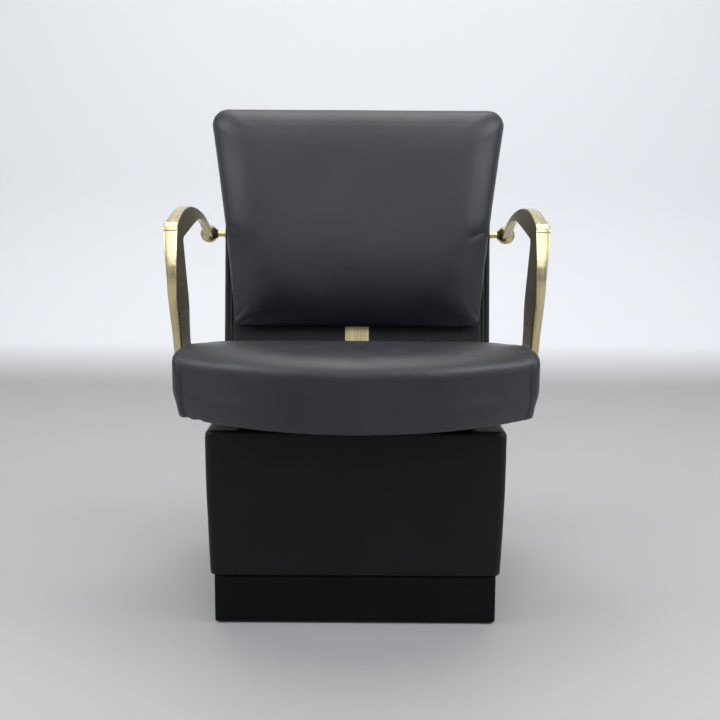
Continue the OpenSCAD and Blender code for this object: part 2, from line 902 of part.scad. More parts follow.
// Vinyl cover of the panel, with softly rounded edges
module back_panel_cover() {
    color(vinyl)
        on_back()
            difference() {
                ring_solid([
                    panel_ring(0, 2 * vinyl_t),
                    panel_ring(vinyl_t, vinyl_t / 2),
                    panel_ring(3 * vinyl_t, 0),
                    panel_ring(panel_t - 3 * vinyl_t, 0),
                    panel_ring(panel_t - vinyl_t, vinyl_t / 2),
                    panel_ring(panel_t, 2 * vinyl_t)
                ]);
                translate([-panel_w / 2 + vinyl_t, vinyl_t, vinyl_t])
                    cube([panel_w - 2 * vinyl_t, panel_t - 2 * vinyl_t, panel_l - 2 * vinyl_t]);
                both_sides() arm_pin_hole();
                bar_panel_holes();
                cushion_screw_holes();
            }
}

// Back cushion

// Half width of the back cushion at a share of its length
function cushion_half(u) =
    cushion_half_low + (cushion_half_top - cushion_half_low) * pow(u, cushion_taper_power);

// Outline of the back cushion, counter-clockwise seen from the front, x across and z up
function cushion_plan() =
    let (
        rt = cushion_top_r,
        rl = cushion_low_r,
        side = [
            for (i = [0:cushion_side_steps])
                let (z = rl + (cushion_l - rt - rl) * i / cushion_side_steps)
                [cushion_half(z / cushion_l), z]
        ],
        low = [
            for (i = [0:corner_steps - 1])
                let (b = 90 * i / corner_steps, x = side[0][0] - rl)
                [x + rl * sin(b), rl - rl * cos(b)]
        ],
        top = [
            for (i = [1:corner_steps])
                let (b = 90 * i / corner_steps, x = side[cushion_side_steps][0] - rt)
                [x + rt * cos(b), cushion_l - rt + rt * sin(b)]
        ],
        right = concat(low, side, top),
        left = [for (i = [len(right) - 1:-1:0]) [-right[i][0], right[i][1]]],
        mid_top = [for (i = [1:4]) [(cushion_half_top - rt) * (1 - i / 2.5), cushion_l]],
        mid_low = [for (i = [1:4]) [-(cushion_half_low - rl) * (1 - i / 2.5), 0]]
    )
    concat(right, mid_top, left, mid_low);

// Ring of the back cushion, the plan drawn in by a share at a depth in front of the panel
function cushion_ring(plan, scale_share, depth, inset) = [
    for (p = plan)
        let (
            s = scale_share * (1 - inset / cushion_half_low),
            mid = cushion_l / 2
        )
        [p[0] * s, -soft_gap - depth, cushion_lift + mid + (p[1] - mid) * s]
];

// Crowned back cushion, its surface drawn in by an inset
module cushion_form(inset) {
    plan = cushion_plan();
    t = cushion_t - 2 * inset;
    side_t = t * cushion_side_share;
    tuck_share = 1 - cushion_tuck / cushion_half_low;
    ring_solid(concat(
        [
            cushion_ring(plan, tuck_share, inset, inset),
            cushion_ring(plan, (1 + tuck_share) / 2, inset + side_t * 0.3, inset),
            cushion_ring(plan, 1, inset + side_t * 0.7, inset)
        ],
        [
            for (k = [0:crown_steps - 1])
                let (a = 90 * k / crown_steps)
                cushion_ring(
                    plan,
                    pow(cos(a), 0.5),
                    inset + side_t + (t - side_t) * sin(a),
                    inset
                )
        ],
        [cushion_ring(plan, 0.12, inset + t, inset)]
    ));
}

// Room behind the cushion for the bar and its bolt heads
module bar_pocket() {
    translate([-bar_w / 2 - 2 * soft_gap, -bar_t - 3 * soft_gap, -cut])
        cube([bar_w + 4 * soft_gap, bar_t + 3 * soft_gap + cut, bar_rise + 2 * soft_gap + cut]);
    for (z = bar_bolt_rises)
        translate([0, 0, z]) rotate([90, 0, 0])
            cylinder(d = bolt_head_d + 4 * soft_gap, h = bar_t + bolt_head_h + 4 * soft_gap);
}

module cushion_board() {
    color(ply)
        on_back()
            difference() {
                translate([0, -soft_gap - vinyl_t, 0]) rotate([90, 0, 0])
                    linear_extrude(cushion_board_t)
                        polygon([
                            for (p = cushion_plan())
                                let (s = 1 - cushion_board_inset / cushion_half_low)
                                [p[0] * s, cushion_lift + cushion_l / 2 + (p[1] - cushion_l / 2) * s]
                        ]);
                bar_pocket();
                cushion_screw_holes();
            }
}

module back_foam() {
    color(foam)
        on_back()
            difference() {
                cushion_form(vinyl_t + soft_gap);
                translate([-cushion_half_top, -soft_gap - vinyl_t - cushion_board_t, 0])
                    cube([2 * cushion_half_top, cushion_board_t + vinyl_t + cut, cushion_lift + cushion_l]);
            }
}

// Vinyl cover of the back cushion, open behind where it is stapled round its board
module back_cushion_cover() {
    color(vinyl)
        on_back()
            difference() {
                cushion_form(0);
                cushion_form(vinyl_t);
                rotate([90, 0, 0]) translate([0, 0, -cut])
                    linear_extrude(cut + soft_gap + vinyl_t + cut)
                        polygon([
                            for (p = cushion_plan())
                                let (s = 1 - (cushion_board_inset + hem_w) / cushion_half_low)
                                [p[0] * s, cushion_lift + cushion_l / 2 + (p[1] - cushion_l / 2) * s]
                        ]);
                bar_pocket();
            }
}

// Places of the screws that hold the cushion to the panel, in the frame of the back
module cushion_screw_places() {
    for (x = [-panel_w / 4, panel_w / 4])
        for (z = [cushion_lift + cushion_l * 0.2, cushion_lift + cushion_l * 0.8])
            translate([x, rail_y, z]) rotate([90, 0, 0]) children();
}

module cushion_screw_holes() {
    cushion_screw_places() cylinder(d = screw_d, h = back_board_t + vinyl_t + cushion_board_t * 0.8);
}

module cushion_screws() {
    color(steel)
        on_back()
            cushion_screw_places() {
                cylinder(d = screw_d, h = back_board_t + vinyl_t + cushion_board_t * 0.8);
                translate([0, 0, -screw_d / 2]) cylinder(d = 2 * screw_d, h = screw_d / 2);
            }
}

// Arms

// Side view of the arm: y rearwards and z up, with the arch, the leg and the root of the ball
function arm_side() =
    let (
        h = arm_bar_h,
        nose = arm_nose,
        fy = leg_front_y,
        top_z = arm_top_z,
        crest_z = seat_z + arm_crest_z,
        low_z = arm_low_z,
        leg_y = fy + leg_top_w,
        heel_y = fy + leg_sweep + leg_low_w,
        toe_y = fy + leg_sweep,
        by = pin_world_y,
        bz = pin_world_z,
        brow_low = [fy, top_z - 0.7 * nose],
        brow_high = [fy + nose, top_z + 0.4 * nose],
        apex = [by - 8.6 * h, crest_z - 0.95 * h],
        pit_high = [leg_y + 0.25 * h, top_z - 0.85 * h],
        pit_low = [leg_y, top_z - 1.1 * h],
        top = curve(
            [
                brow_high,
                [fy + 5.5 * h, crest_z + 1.05 * h],
                [by - 6.3 * h, crest_z - 0.6 * h],
                [by - nose / 2, bz + ball_root]
            ],
            arm_curve_steps
        ),
        under = curve(
            [
                [by - ball_root, bz - ball_root],
                [by - 3.4 * h, crest_z - 1.2 * h],
                [by - 7 * h, crest_z - 0.98 * h],
                apex
            ],
            arm_curve_steps
        ),
        ramp = curve(
            [
                apex,
                [apex.x - h, apex.y],
                [leg_y + 2.4 * h, top_z - 0.52 * h],
                pit_high
            ],
            corner_curve_steps
        ),
        armpit = curve(
            [
                pit_high,
                [leg_y + 0.08 * h, top_z - 0.89 * h],
                [leg_y, top_z - 0.95 * h],
                pit_low
            ],
            corner_curve_steps
        ),
        rear = curve(
            [
                pit_low,
                [leg_y + 1.9 * h, top_z - 5.4 * h],
                [heel_y - 1.3 * h, low_z + 4 * h],
                [heel_y, low_z + nose]
            ],
            arm_curve_steps
        ),
        heel = curve(
            [
                [heel_y, low_z + nose],
                [heel_y + nose / 4, low_z + nose / 3],
                [heel_y - nose / 3, low_z],
                [heel_y - nose, low_z]
            ],
            corner_curve_steps
        ),
        toe = curve(
            [
                [toe_y + nose, low_z],
                [toe_y + nose / 3, low_z],
                [toe_y, low_z + nose / 3],
                [toe_y, low_z + nose]
            ],
            corner_curve_steps
        ),
        front = curve(
            [
                [toe_y, low_z + nose],
                [toe_y - h, low_z + 6.6 * h],
                [fy - 3 * leg_bulge, top_z - 5.7 * h],
                brow_low
            ],
            arm_curve_steps
        ),
        brow = curve(
            [
                brow_low,
                [fy, top_z - 0.2 * nose],
                [fy + 0.3 * nose, top_z + 0.1 * nose],
                brow_high
            ],
            corner_curve_steps
        )
    )
    concat(top, [[by - nose / 2, bz + ball_root]], under, ramp, armpit, rear, heel, toe, front, brow);

// Front view of the arm: x outwards and z up, thinner towards the lower end of the leg
function arm_front() =
    let (
        bend_z = seat_z + arm_front_z * leg_bend_share,
        knee_z = seat_z + arm_front_z * leg_knee_share,
        low_shoulder_z = seat_z + arm_front_z * arm_shoulder_shares[0],
        high_shoulder_z = seat_z + arm_front_z * arm_shoulder_shares[1],
        high_z = seat_z + arm_crest_z + arm_bar_h
    )
    [
        [arm_in_x, seat_z],
        [leg_low_out_x, seat_z],
        [leg_low_out_x, bend_z],
        [leg_out_x, knee_z],
        [leg_out_x, low_shoulder_z],
        [arm_top_out_x, high_shoulder_z],
        [arm_top_out_x, high_z],
        [arm_top_in_x, high_z],
        [arm_top_in_x, knee_z],
        [arm_in_x, bend_z]
    ];

// Line in plan that runs off from one point and eases into another
function eased(from, to) =
    let (mid_y = (from.y + to.y) / 2)
    curve([from, [from.x, mid_y], [to.x, mid_y], to], corner_curve_steps);

// Plan of the arm: x outwards and y rearwards, wide at the front face, with a neck at the ball
function arm_plan() =
    let (
        in_x = arm_top_in_x - cut,
        leg_x = leg_low_out_x + cut,
        bar_x = arm_top_in_x + arm_bar_w,
        strip_x = arm_top_out_x + cut,
        neck_in_x = ball_x - arm_neck_w / 2,
        neck_out_x = ball_x + arm_neck_w / 2,
        strip_y = leg_front_y - 0.4 * arm_bar_h,
        leg_y = leg_front_y + 1.7 * arm_bar_h,
        heel_y = leg_front_y + leg_sweep + leg_low_w,
        bar_y = pin_world_y - arm_neck_l,
        neck_y = pin_world_y - ball_root,
        end_y = pin_world_y + ball_root
    )
    concat(
        [[in_x, seat_y]],
        eased([in_x, bar_y], [neck_in_x, neck_y]),
        [[neck_in_x, end_y], [neck_out_x, end_y]],
        eased([neck_out_x, neck_y], [bar_x, bar_y]),
        eased([bar_x, heel_y + 3 * arm_bar_h], [leg_x, heel_y]),
        eased([leg_x, leg_y], [strip_x, strip_y]),
        [[strip_x, strip_y], [strip_x, seat_y]]
    );

// Holes for the two bolts of the leg on the +X side
module arm_bolt_holes() {
    for (y = arm_bolt_ys)
        translate([leg_low_out_x + cut, y, arm_bolt_z]) rotate([0, -90, 0])
            cylinder(d = bolt_d + 2 * bolt_gap, h = leg_low_t + arm_block_w + cut);
}

// Sunk seats for the heads of those bolts
module arm_bolt_seats() {
    for (y = arm_bolt_ys)
        translate([leg_low_out_x + cut, y, arm_bolt_z]) rotate([0, -90, 0])
            cylinder(d = bolt_head_d + 2 * bolt_gap, h = cut + bolt_head_h);
}

// Cast arm: arch and leg in one, with a drilled ball at the rear end
module arm() {
    color(gold)
        difference() {
            union() {
                intersection() {
                    translate([arm_top_in_x - cut, 0, 0]) rotate([90, 0, 90])
                        linear_extrude(arm_t + 2 * cut) polygon(arm_side());
                    translate([0, box_rear_y, 0]) rotate([90, 0, 0])
                        linear_extrude(overall_d) polygon(arm_front());
                    translate([0, 0, seat_z]) linear_extrude(arm_crest_z + arm_bar_h) polygon(arm_plan());
                }
                translate([ball_x, pin_world_y, pin_world_z]) {
                    sphere(d = ball_d);
                    rotate([0, -90, 0]) cylinder(d = ball_boss_d, h = ball_d / 2);
                }
            }
            translate([ball_x - ball_d, pin_world_y, pin_world_z]) rotate([0, 90, 0])
                cylinder(d = pin_d + 2 * run_gap, h = ball_d * 1.3);
            translate([ball_x, pin_world_y, pin_world_z]) rotate([125, 0, 0])
                cylinder(d = set_screw_d + 2 * run_gap, h = ball_d);
            arm_bolt_holes();
            arm_bolt_seats();
        }
}

// Pin from the ball into the side rail of the back
module arm_pin() {
    color(gold)
        translate([panel_w / 2 - vinyl_t - pin_grip, pin_world_y, pin_world_z])
            rotate([0, 90, 0])
                cylinder(d = pin_d, h = ball_x + ball_d * 0.25 - panel_w / 2 + vinyl_t + pin_grip);
}

// Collar on the pin against the side of the panel
module pin_collars() {
    color(gold)
        both_sides()
            translate([panel_w / 2 + soft_gap, pin_world_y, pin_world_z])
                rotate([0, 90, 0]) insert(collar_t, collar_d, pin_d);
}

// Grub screw that clamps the pin in the ball
module set_screws() {
    color(steel)
        both_sides()
            translate([ball_x, pin_world_y, pin_world_z]) rotate([125, 0, 0])
                translate([0, 0, pin_d / 2 + run_gap]) cylinder(d = set_screw_d, h = ball_d / 4);
}

module arm_bolts() {
    color(gold)
        for (y = arm_bolt_ys)
            translate([leg_low_out_x - bolt_head_h, y, arm_bolt_z]) rotate([0, -90, 0])
                button_bolt(leg_low_out_x - bolt_head_h - arm_block_x + arm_insert_l);
}

// Places of the threaded inserts in the arm block on the +X side
module arm_insert_places() {
    for (y = arm_bolt_ys)
        translate([arm_block_x, y, arm_bolt_z]) rotate([0, -90, 0]) children();
}

module arm_inserts() {
    color(steel) both_sides() arm_insert_places() insert(arm_insert_l, insert_d, bolt_d);
}

translate([foot_x, foot_front_y, 0]) foot_pad();  // foot_pad_front_right
translate([-foot_x, foot_front_y, 0]) foot_pad();  // foot_pad_front_left
translate([foot_x, foot_rear_y, 0]) foot_pad();  // foot_pad_rear_right
translate([-foot_x, foot_rear_y, 0]) foot_pad();  // foot_pad_rear_left
translate([foot_x, foot_front_y, 0]) foot_stem();  // foot_stem_front_right
translate([-foot_x, foot_front_y, 0]) foot_stem();  // foot_stem_front_left
translate([foot_x, foot_rear_y, 0]) foot_stem();  // foot_stem_rear_right
translate([-foot_x, foot_rear_y, 0]) foot_stem();  // foot_stem_rear_left
foot_inserts();
plinth_cross_board(plinth_out_front);  // plinth_front
plinth_cross_board(plinth_out_rear - board_t);  // plinth_rear
plinth_side_board();  // plinth_right
mirror([1, 0, 0]) plinth_side_board();  // plinth_left
plinth_cover();
box_floor();
box_cross_board(core_front_y);  // box_front
box_cross_board(core_rear_y - board_t);  // box_rear
box_side_board();  // box_right
mirror([1, 0, 0]) box_side_board();  // box_left
box_top();
box_corner_blocks();
box_cover();
plinth_screws();
riser();  // riser_right
mirror([1, 0, 0]) riser();  // riser_left
seat_bolts();
seat_board();
arm_block();  // arm_block_right
mirror([1, 0, 0]) arm_block();  // arm_block_left
seat_foam();
seat_cover();
dust_cover();
seat_tee_nuts();
back_board();
back_side_rail();  // back_rail_right
mirror([1, 0, 0]) back_side_rail();  // back_rail_left
back_cross_rail(panel_l - vinyl_t - rail_w);  // back_rail_top
back_cross_rail(vinyl_t);  // back_rail_bottom
back_panel_cover();
cushion_board();
back_foam();
back_cushion_cover();
cushion_screws();
bracket_bar();
bracket_bolts();
arm();  // arm_right
mirror([1, 0, 0]) arm();  // arm_left
arm_pin();  // arm_pin_right
mirror([1, 0, 0]) arm_pin();  // arm_pin_left
pin_collars();
set_screws();
arm_bolts();  // arm_bolts_right
mirror([1, 0, 0]) arm_bolts();  // arm_bolts_left
arm_inserts();
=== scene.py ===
import json
import math

import bmesh
import bpy
import numpy as np
from mathutils import Matrix, Vector, noise
from mathutils.bvhtree import BVHTree


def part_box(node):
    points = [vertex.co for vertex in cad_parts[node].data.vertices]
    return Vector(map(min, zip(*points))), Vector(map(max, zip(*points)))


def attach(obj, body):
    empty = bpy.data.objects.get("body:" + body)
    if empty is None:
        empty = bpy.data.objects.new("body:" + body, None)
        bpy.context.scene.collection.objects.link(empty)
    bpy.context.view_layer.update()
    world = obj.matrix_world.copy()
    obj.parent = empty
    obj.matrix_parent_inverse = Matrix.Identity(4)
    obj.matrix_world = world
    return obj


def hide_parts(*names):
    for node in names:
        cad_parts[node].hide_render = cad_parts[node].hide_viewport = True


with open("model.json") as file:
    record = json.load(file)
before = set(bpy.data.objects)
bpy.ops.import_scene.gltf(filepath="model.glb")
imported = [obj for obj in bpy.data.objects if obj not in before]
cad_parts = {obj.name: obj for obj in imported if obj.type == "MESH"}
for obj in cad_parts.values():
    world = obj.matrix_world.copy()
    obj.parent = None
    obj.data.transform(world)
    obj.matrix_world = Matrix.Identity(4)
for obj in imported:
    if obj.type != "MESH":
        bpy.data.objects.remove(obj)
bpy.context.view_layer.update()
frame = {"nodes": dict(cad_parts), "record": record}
nodes = frame["nodes"]
print("frame loaded,", len(nodes), "nodes")


# small helpers

def placed(name, data):
    obj = bpy.data.objects.new(name, data)
    bpy.context.scene.collection.objects.link(obj)
    return obj


def meshObject(name, verts, faces):
    mesh = bpy.data.meshes.new(name)
    mesh.from_pydata([tuple(v) for v in verts], [], faces)
    mesh.update()
    mesh.shade_smooth()
    return placed(name, mesh)


def loftRings(rings, capped=True):
    # skin through rings of equal length, capped at both ends or joined from last to first
    n, count = len(rings[0]), len(rings)
    faces = []
    for k in range(count - 1 if capped else count):
        m = (k + 1) % count
        for i in range(n):
            j = (i + 1) % n
            faces.append((k * n + i, k * n + j, m * n + j, m * n + i))
    if capped:
        faces.append(tuple(range(n - 1, -1, -1)))
        faces.append(tuple(range((count - 1) * n, count * n)))
    return [tuple(p) for ring in rings for p in ring], faces


def faceOutwards(obj):
    bm = bmesh.new()
    bm.from_mesh(obj.data)
    bmesh.ops.remove_doubles(bm, verts=bm.verts, dist=1e-6)
    bmesh.ops.recalc_face_normals(bm, faces=bm.faces)
    bm.to_mesh(obj.data)
    bm.free()


def cutAcross(bm, axis, places):
    # extra edges where planes across one axis meet the mesh
    normal = [float(k == axis) for k in range(3)]
    for at in places:
        geom = bm.verts[:] + bm.edges[:] + bm.faces[:]
        bmesh.ops.bisect_plane(bm, geom=geom, plane_co=[at * k for k in normal], plane_no=normal)


def fromBmesh(name, bm):
    bmesh.ops.recalc_face_normals(bm, faces=bm.faces)
    mesh = bpy.data.meshes.new(name)
    bm.to_mesh(mesh)
    bm.free()
    return placed(name, mesh)


def currentGraph():
    graph = bpy.context.evaluated_depsgraph_get()
    graph.update()
    return graph


def bakeModifiers(obj):
    mesh = bpy.data.meshes.new_from_object(obj.evaluated_get(currentGraph()))
    old = obj.data
    obj.modifiers.clear()
    obj.data = mesh
    mesh.name = obj.name
    bpy.data.meshes.remove(old)


def readPoints(obj):
    co = np.zeros(len(obj.data.vertices) * 3)
    obj.data.vertices.foreach_get("co", co)
    return co.reshape(-1, 3)


def writePoints(obj, co):
    obj.data.vertices.foreach_set("co", co.reshape(-1))
    obj.data.update()


def smoothStep(low, high, value):
    t = np.clip((value - low) / (high - low), 0, 1)
    return t * t * (3 - 2 * t)


def between(base, zone, value):
    return smoothStep(base + zone[0], base + zone[1], value)


def unit(v):
    return v / np.linalg.norm(v, axis=1, keepdims=True)


def quarter(steps, first=0):
    return [math.pi / 2 * i / steps for i in range(first, steps + 1)]


def cubic(p, steps):
    # points along a cubic curve, without its last one
    p = [np.array(q, float) for q in p]
    out = []
    for i in range(steps):
        t = i / steps
        s = 1 - t
        out.append(s ** 3 * p[0] + 3 * s * s * t * p[1] + 3 * s * t * t * p[2] + t ** 3 * p[3])
    return out


# camera, lights and studio

view = {
    "place": (0.0065, -2.0152, 0.791),
    "pitchDown": 9.2,
    "roll": 0.33,
    "lens": 54.75,
    "sensor": 36,
}
# place, aim, size, watts and tint of each lamp
lamps = {
    "ceiling": ((0.0, 0.5, 3.5), (0.0, 0.0, 0.5), 3.0, 88, (1.0, 0.98, 0.96)),
    "front": ((0.0, -4.0, 3.7), (0.0, 0.0, 0.7), 3.6, 98, (0.94, 0.97, 1.0)),
    "left": ((-2.8, -1.0, 2.2), (0.0, 0.0, 0.75), 1.7, 62, (0.88, 0.93, 1.0)),
    "right": ((2.8, -1.0, 2.2), (0.0, 0.0, 0.75), 1.7, 76, (0.88, 0.93, 1.0)),
}
studio = {
    "world": (0.82, 0.83, 0.85),
    "worldStrength": 0.38,
    "wall": (0.64, 0.65, 0.67),
    "wallGlow": 0.10,
    "floor": (0.385, 0.38, 0.375),
    "fadeHeight": 0.11,
    "floorFront": -6.0,
    "wallFoot": 2.2,
    "bendRadius": 0.8,
    "wallTop": 5.0,
    "halfWidth": 7.0,
}


def makeCamera():
    data = bpy.data.cameras.new("camera")
    data.lens = view["lens"]
    data.sensor_width = view["sensor"]
    cam = placed("camera", data)
    turn = Matrix.Rotation(math.radians(90 - view["pitchDown"]), 4, "X")
    turn = turn @ Matrix.Rotation(math.radians(view["roll"]), 4, "Z")
    cam.matrix_world = Matrix.Translation(view["place"]) @ turn
    bpy.context.scene.camera = cam


def makeLights():
    for name, (place, aim, size, watts, tint) in lamps.items():
        data = bpy.data.lights.new(name, "AREA")
        data.shape = "SQUARE"
        data.size = size
        data.energy = watts
        data.color = tint
        lamp = placed(name, data)
        lamp.location = place
        lamp.rotation_euler = (Vector(aim) - Vector(place)).to_track_quat("-Z", "Y").to_euler()
    world = bpy.data.worlds.new("room")
    bpy.context.scene.world = world
    world.use_nodes = True
    tree = world.node_tree
    sky = {"Color": (*studio["world"], 1), "Strength": studio["worldStrength"]}
    wired(tree, tree.nodes["Background"], sky)
    bpy.context.scene.view_settings.view_transform = "Standard"


def makeStage():
    # a floor that bends up into a wall behind the chair
    foot, radius, half = studio["wallFoot"], studio["bendRadius"], studio["halfWidth"]
    profile = [(studio["floorFront"], 0.0), (foot, 0.0)]
    for a in quarter(12, 1):
        profile.append((foot + radius * math.sin(a), radius - radius * math.cos(a)))
    profile.append((foot + radius, studio["wallTop"]))
    verts = [(x, y, z) for y, z in profile for x in (-half, half)]
    faces = [(2 * i, 2 * i + 1, 2 * i + 3, 2 * i + 2) for i in range(len(profile) - 1)]
    sweep = meshObject("studioSweep", verts, faces)
    mat, tree, shader = newMaterial("studioGrey", roughness=0.7, specular=0.2)
    fade = mapRange(tree, separateZ(tree), 0.0, studio["fadeHeight"])
    colourMix(tree, shader, fade, studio["floor"], studio["wall"])
    # the wall is seen a little paler than the lamps alone make it
    path = tree.nodes.new("ShaderNodeLightPath")
    seen = addUp(tree, path.outputs["Is Camera Ray"], path.outputs["Is Glossy Ray"])
    seen = addUp(tree, seen, path.outputs["Is Transmission Ray"])
    glow = tree.nodes.new("ShaderNodeMath")
    glow.operation = "MULTIPLY"
    wired(tree, glow, {0: seen, 1: mapRange(tree, fade, 0.0, 1.0, 0.0, studio["wallGlow"])})
    wired(tree, shader, {"Emission Color": (1, 1, 1, 1), "Emission Strength": glow.outputs[0]})
    sweep.data.materials.append(mat)


# shader building blocks

def wired(tree, node, inputs):
    # each input takes a value or is linked to a socket
    for key, value in inputs.items():
        if isinstance(value, bpy.types.NodeSocket):
            tree.links.new(value, node.inputs[key])
        else:
            node.inputs[key].default_value = value
    return node


def newMaterial(name, roughness=0.5, metallic=0.0, specular=0.5):
    mat = bpy.data.materials.new(name)
    mat.use_nodes = True
    tree = mat.node_tree
    shader = tree.nodes["Principled BSDF"]
    wired(tree, shader, {"Roughness": roughness, "Metallic": metallic, "Specular IOR Level": specular})
    return mat, tree, shader


def objectCoords(tree, scale=(1, 1, 1)):
    coords = tree.nodes.new("ShaderNodeTexCoord").outputs["Object"]
    mapping = tree.nodes.new("ShaderNodeMapping")
    return wired(tree, mapping, {"Vector": coords, "Scale": scale}).outputs["Vector"]


def separateZ(tree):
    split = tree.nodes.new("ShaderNodeSeparateXYZ")
    return wired(tree, split, {0: objectCoords(tree)}).outputs["Z"]


def noiseTexture(tree, vector, scale, detail=2.0, rough=0.5):
    node = tree.nodes.new("ShaderNodeTexNoise")
    wired(tree, node, {"Vector": vector, "Scale": scale, "Detail": detail, "Roughness": rough})
    return node.outputs["Fac"]


def cellTexture(tree, vector, scale, feature="DISTANCE_TO_EDGE"):
    node = tree.nodes.new("ShaderNodeTexVoronoi")
    node.feature = feature
    return wired(tree, node, {"Vector": vector, "Scale": scale}).outputs["Distance"]


def mapRange(tree, value, fromMin, fromMax, toMin=0.0, toMax=1.0):
    node = tree.nodes.new("ShaderNodeMapRange")
    spans = {"From Min": fromMin, "From Max": fromMax, "To Min": toMin, "To Max": toMax}
    return wired(tree, node, {"Value": value, **spans}).outputs["Result"]


def roughBetween(tree, shader, value, low, high):
    tree.links.new(mapRange(tree, value, 0.3, 0.7, low, high), shader.inputs["Roughness"])


def colourMix(tree, shader, factor, first, second):
    node = tree.nodes.new("ShaderNodeMix")
    node.data_type = "RGBA"
    wired(tree, node, {"Factor": factor, "A": (*first, 1), "B": (*second, 1)})
    tree.links.new(node.outputs["Result"], shader.inputs["Base Color"])


def addUp(tree, first, second, share=1.0):
    node = tree.nodes.new("ShaderNodeMath")
    node.operation = "MULTIPLY_ADD"
    return wired(tree, node, {0: second, 1: share, 2: first}).outputs[0]


def bump(tree, shader, height, strength, distance):
    node = tree.nodes.new("ShaderNodeBump")
    wired(tree, node, {"Height": height, "Strength": strength, "Distance": distance})
    tree.links.new(node.outputs["Normal"], shader.inputs["Normal"])


# finishes

vinylLook = {
    "cloudsPerMetre": 7.0,
    "wearPerMetre": 22.0,
    "swellsPerMetre": 260.0,
    "grainPerMetre": 850.0,
    "poresPerMetre": 2600.0,
    "furrow": 0.22,
    "poreShare": 0.45,
    "swellShare": 0.8,
    "grainDepth": 0.00016,
    "grainStrength": 0.55,
    "roughLow": 0.31,
    "roughHigh": 0.41,
}
# dark tone, pale tone, extra roughness and specular level of each vinyl; the panel, box and plinth rows are
# the seat's vinyl in darker copies, their lower tones painted shade
vinyls = {
    "seatVinyl": ((0.0085, 0.0095, 0.0135), (0.013, 0.014, 0.019), 0.0, 0.52),
    "panelVinylPaintedShade": ((0.0050, 0.0055, 0.0075), (0.0080, 0.0085, 0.0110), 0.04, 0.34),
    "boxVinylPaintedShade": ((0.0035, 0.0035, 0.0038), (0.0055, 0.0055, 0.0058), 0.06, 0.20),
    "plinthVinylPaintedShade": ((0.0020, 0.0020, 0.0022), (0.0032, 0.0032, 0.0034), 0.08, 0.12),
}


def makeVinyl(name):
    look = vinylLook
    dark, pale, extra, specular = vinyls[name]
    mat, tree, shader = newMaterial(name, specular=specular)
    vector = objectCoords(tree)
    clouds = noiseTexture(tree, vector, look["cloudsPerMetre"], 4.0)
    colourMix(tree, shader, mapRange(tree, clouds, 0.35, 0.65), dark, pale)
    wear = noiseTexture(tree, vector, look["wearPerMetre"], 5.0)
    roughBetween(tree, shader, wear, look["roughLow"] + extra, look["roughHigh"] + extra)
    plateaus = mapRange(tree, cellTexture(tree, vector, look["grainPerMetre"]), 0.0, look["furrow"])
    pores = noiseTexture(tree, vector, look["poresPerMetre"])
    swells = noiseTexture(tree, vector, look["swellsPerMetre"])
    height = addUp(tree, addUp(tree, plateaus, pores, look["poreShare"]), swells, look["swellShare"])
    bump(tree, shader, height, look["grainStrength"], look["grainDepth"])
    return mat


goldLook = {
    "pale": (0.72, 0.62, 0.37),
    "deep": (0.56, 0.47, 0.25),
    "roughLow": 0.22,
    "roughHigh": 0.31,
    "brushAndReflectionStreaks": (170, 3, 3),
    "smears": (160, 5, 5),
    "fineLines": (900, 30, 30),
    "wavesPerMetre": 32.0,
    "fineShare": 0.02,
    "waviness": 0.0004,
}


def makeGold(name, brushed=0.0):
    look = goldLook
    mat, tree, shader = newMaterial(name, metallic=1.0)
    # soft bands that run along the leg and the bar: partly the brushed finish, partly painted streaky
    # reflections in the base colour
    brushAndReflectionStreaks = noiseTexture(tree, objectCoords(tree, look["brushAndReflectionStreaks"]), 1.0, 3.0, 0.6)
    colourMix(tree, shader, mapRange(tree, brushAndReflectionStreaks, 0.34, 0.62), look["deep"], look["pale"])
    smears = noiseTexture(tree, objectCoords(tree, look["smears"]), 1.0, 4.0)
    roughBetween(tree, shader, smears, look["roughLow"] + brushed, look["roughHigh"] + brushed)
    waves = noiseTexture(tree, objectCoords(tree), look["wavesPerMetre"], 1.0)
    fine = noiseTexture(tree, objectCoords(tree, look["fineLines"]), 1.0)
    bump(tree, shader, addUp(tree, waves, fine, look["fineShare"]), 0.35, look["waviness"])
    return mat


def makeSteel(name):
    mat, tree, shader = newMaterial(name, metallic=1.0)
    vector = objectCoords(tree)
    cloud = noiseTexture(tree, vector, 90.0, 4.0)
    colourMix(tree, shader, cloud, (0.50, 0.51, 0.53), (0.68, 0.69, 0.70))
    roughBetween(tree, shader, cloud, 0.28, 0.42)
    bump(tree, shader, noiseTexture(tree, vector, 700.0), 0.2, 0.0001)
    return mat


def makeNylon(name):
    mat, tree, shader = newMaterial(name, specular=0.4)
    vector = objectCoords(tree)
    cloud = noiseTexture(tree, vector, 120.0, 3.0)
    colourMix(tree, shader, cloud, (0.080, 0.048, 0.032), (0.13, 0.082, 0.055))
    roughBetween(tree, shader, cloud, 0.5, 0.65)
    bump(tree, shader, noiseTexture(tree, vector, 1800.0), 0.3, 0.0001)
    return mat


def makeWood(name, dark, pale, ringsPerMetre, rough):
    mat, tree, shader = newMaterial(name, specular=0.3)
    grain = noiseTexture(tree, objectCoords(tree, (1, 1, 9)), ringsPerMetre, 5.0, 0.6)
    colourMix(tree, shader, mapRange(tree, grain, 0.3, 0.7), dark, pale)
    roughBetween(tree, shader, grain, rough, rough + 0.12)
    bump(tree, shader, grain, 0.3, 0.0003)
    return mat


def makeFoam(name):
    mat, tree, shader = newMaterial(name, roughness=0.95, specular=0.1)
    cells = cellTexture(tree, objectCoords(tree), 700.0, "F1")
    colourMix(tree, shader, mapRange(tree, cells, 0.1, 0.7), (0.80, 0.73, 0.46), (0.66, 0.58, 0.33))
    bump(tree, shader, cells, 0.6, 0.0005)
    return mat


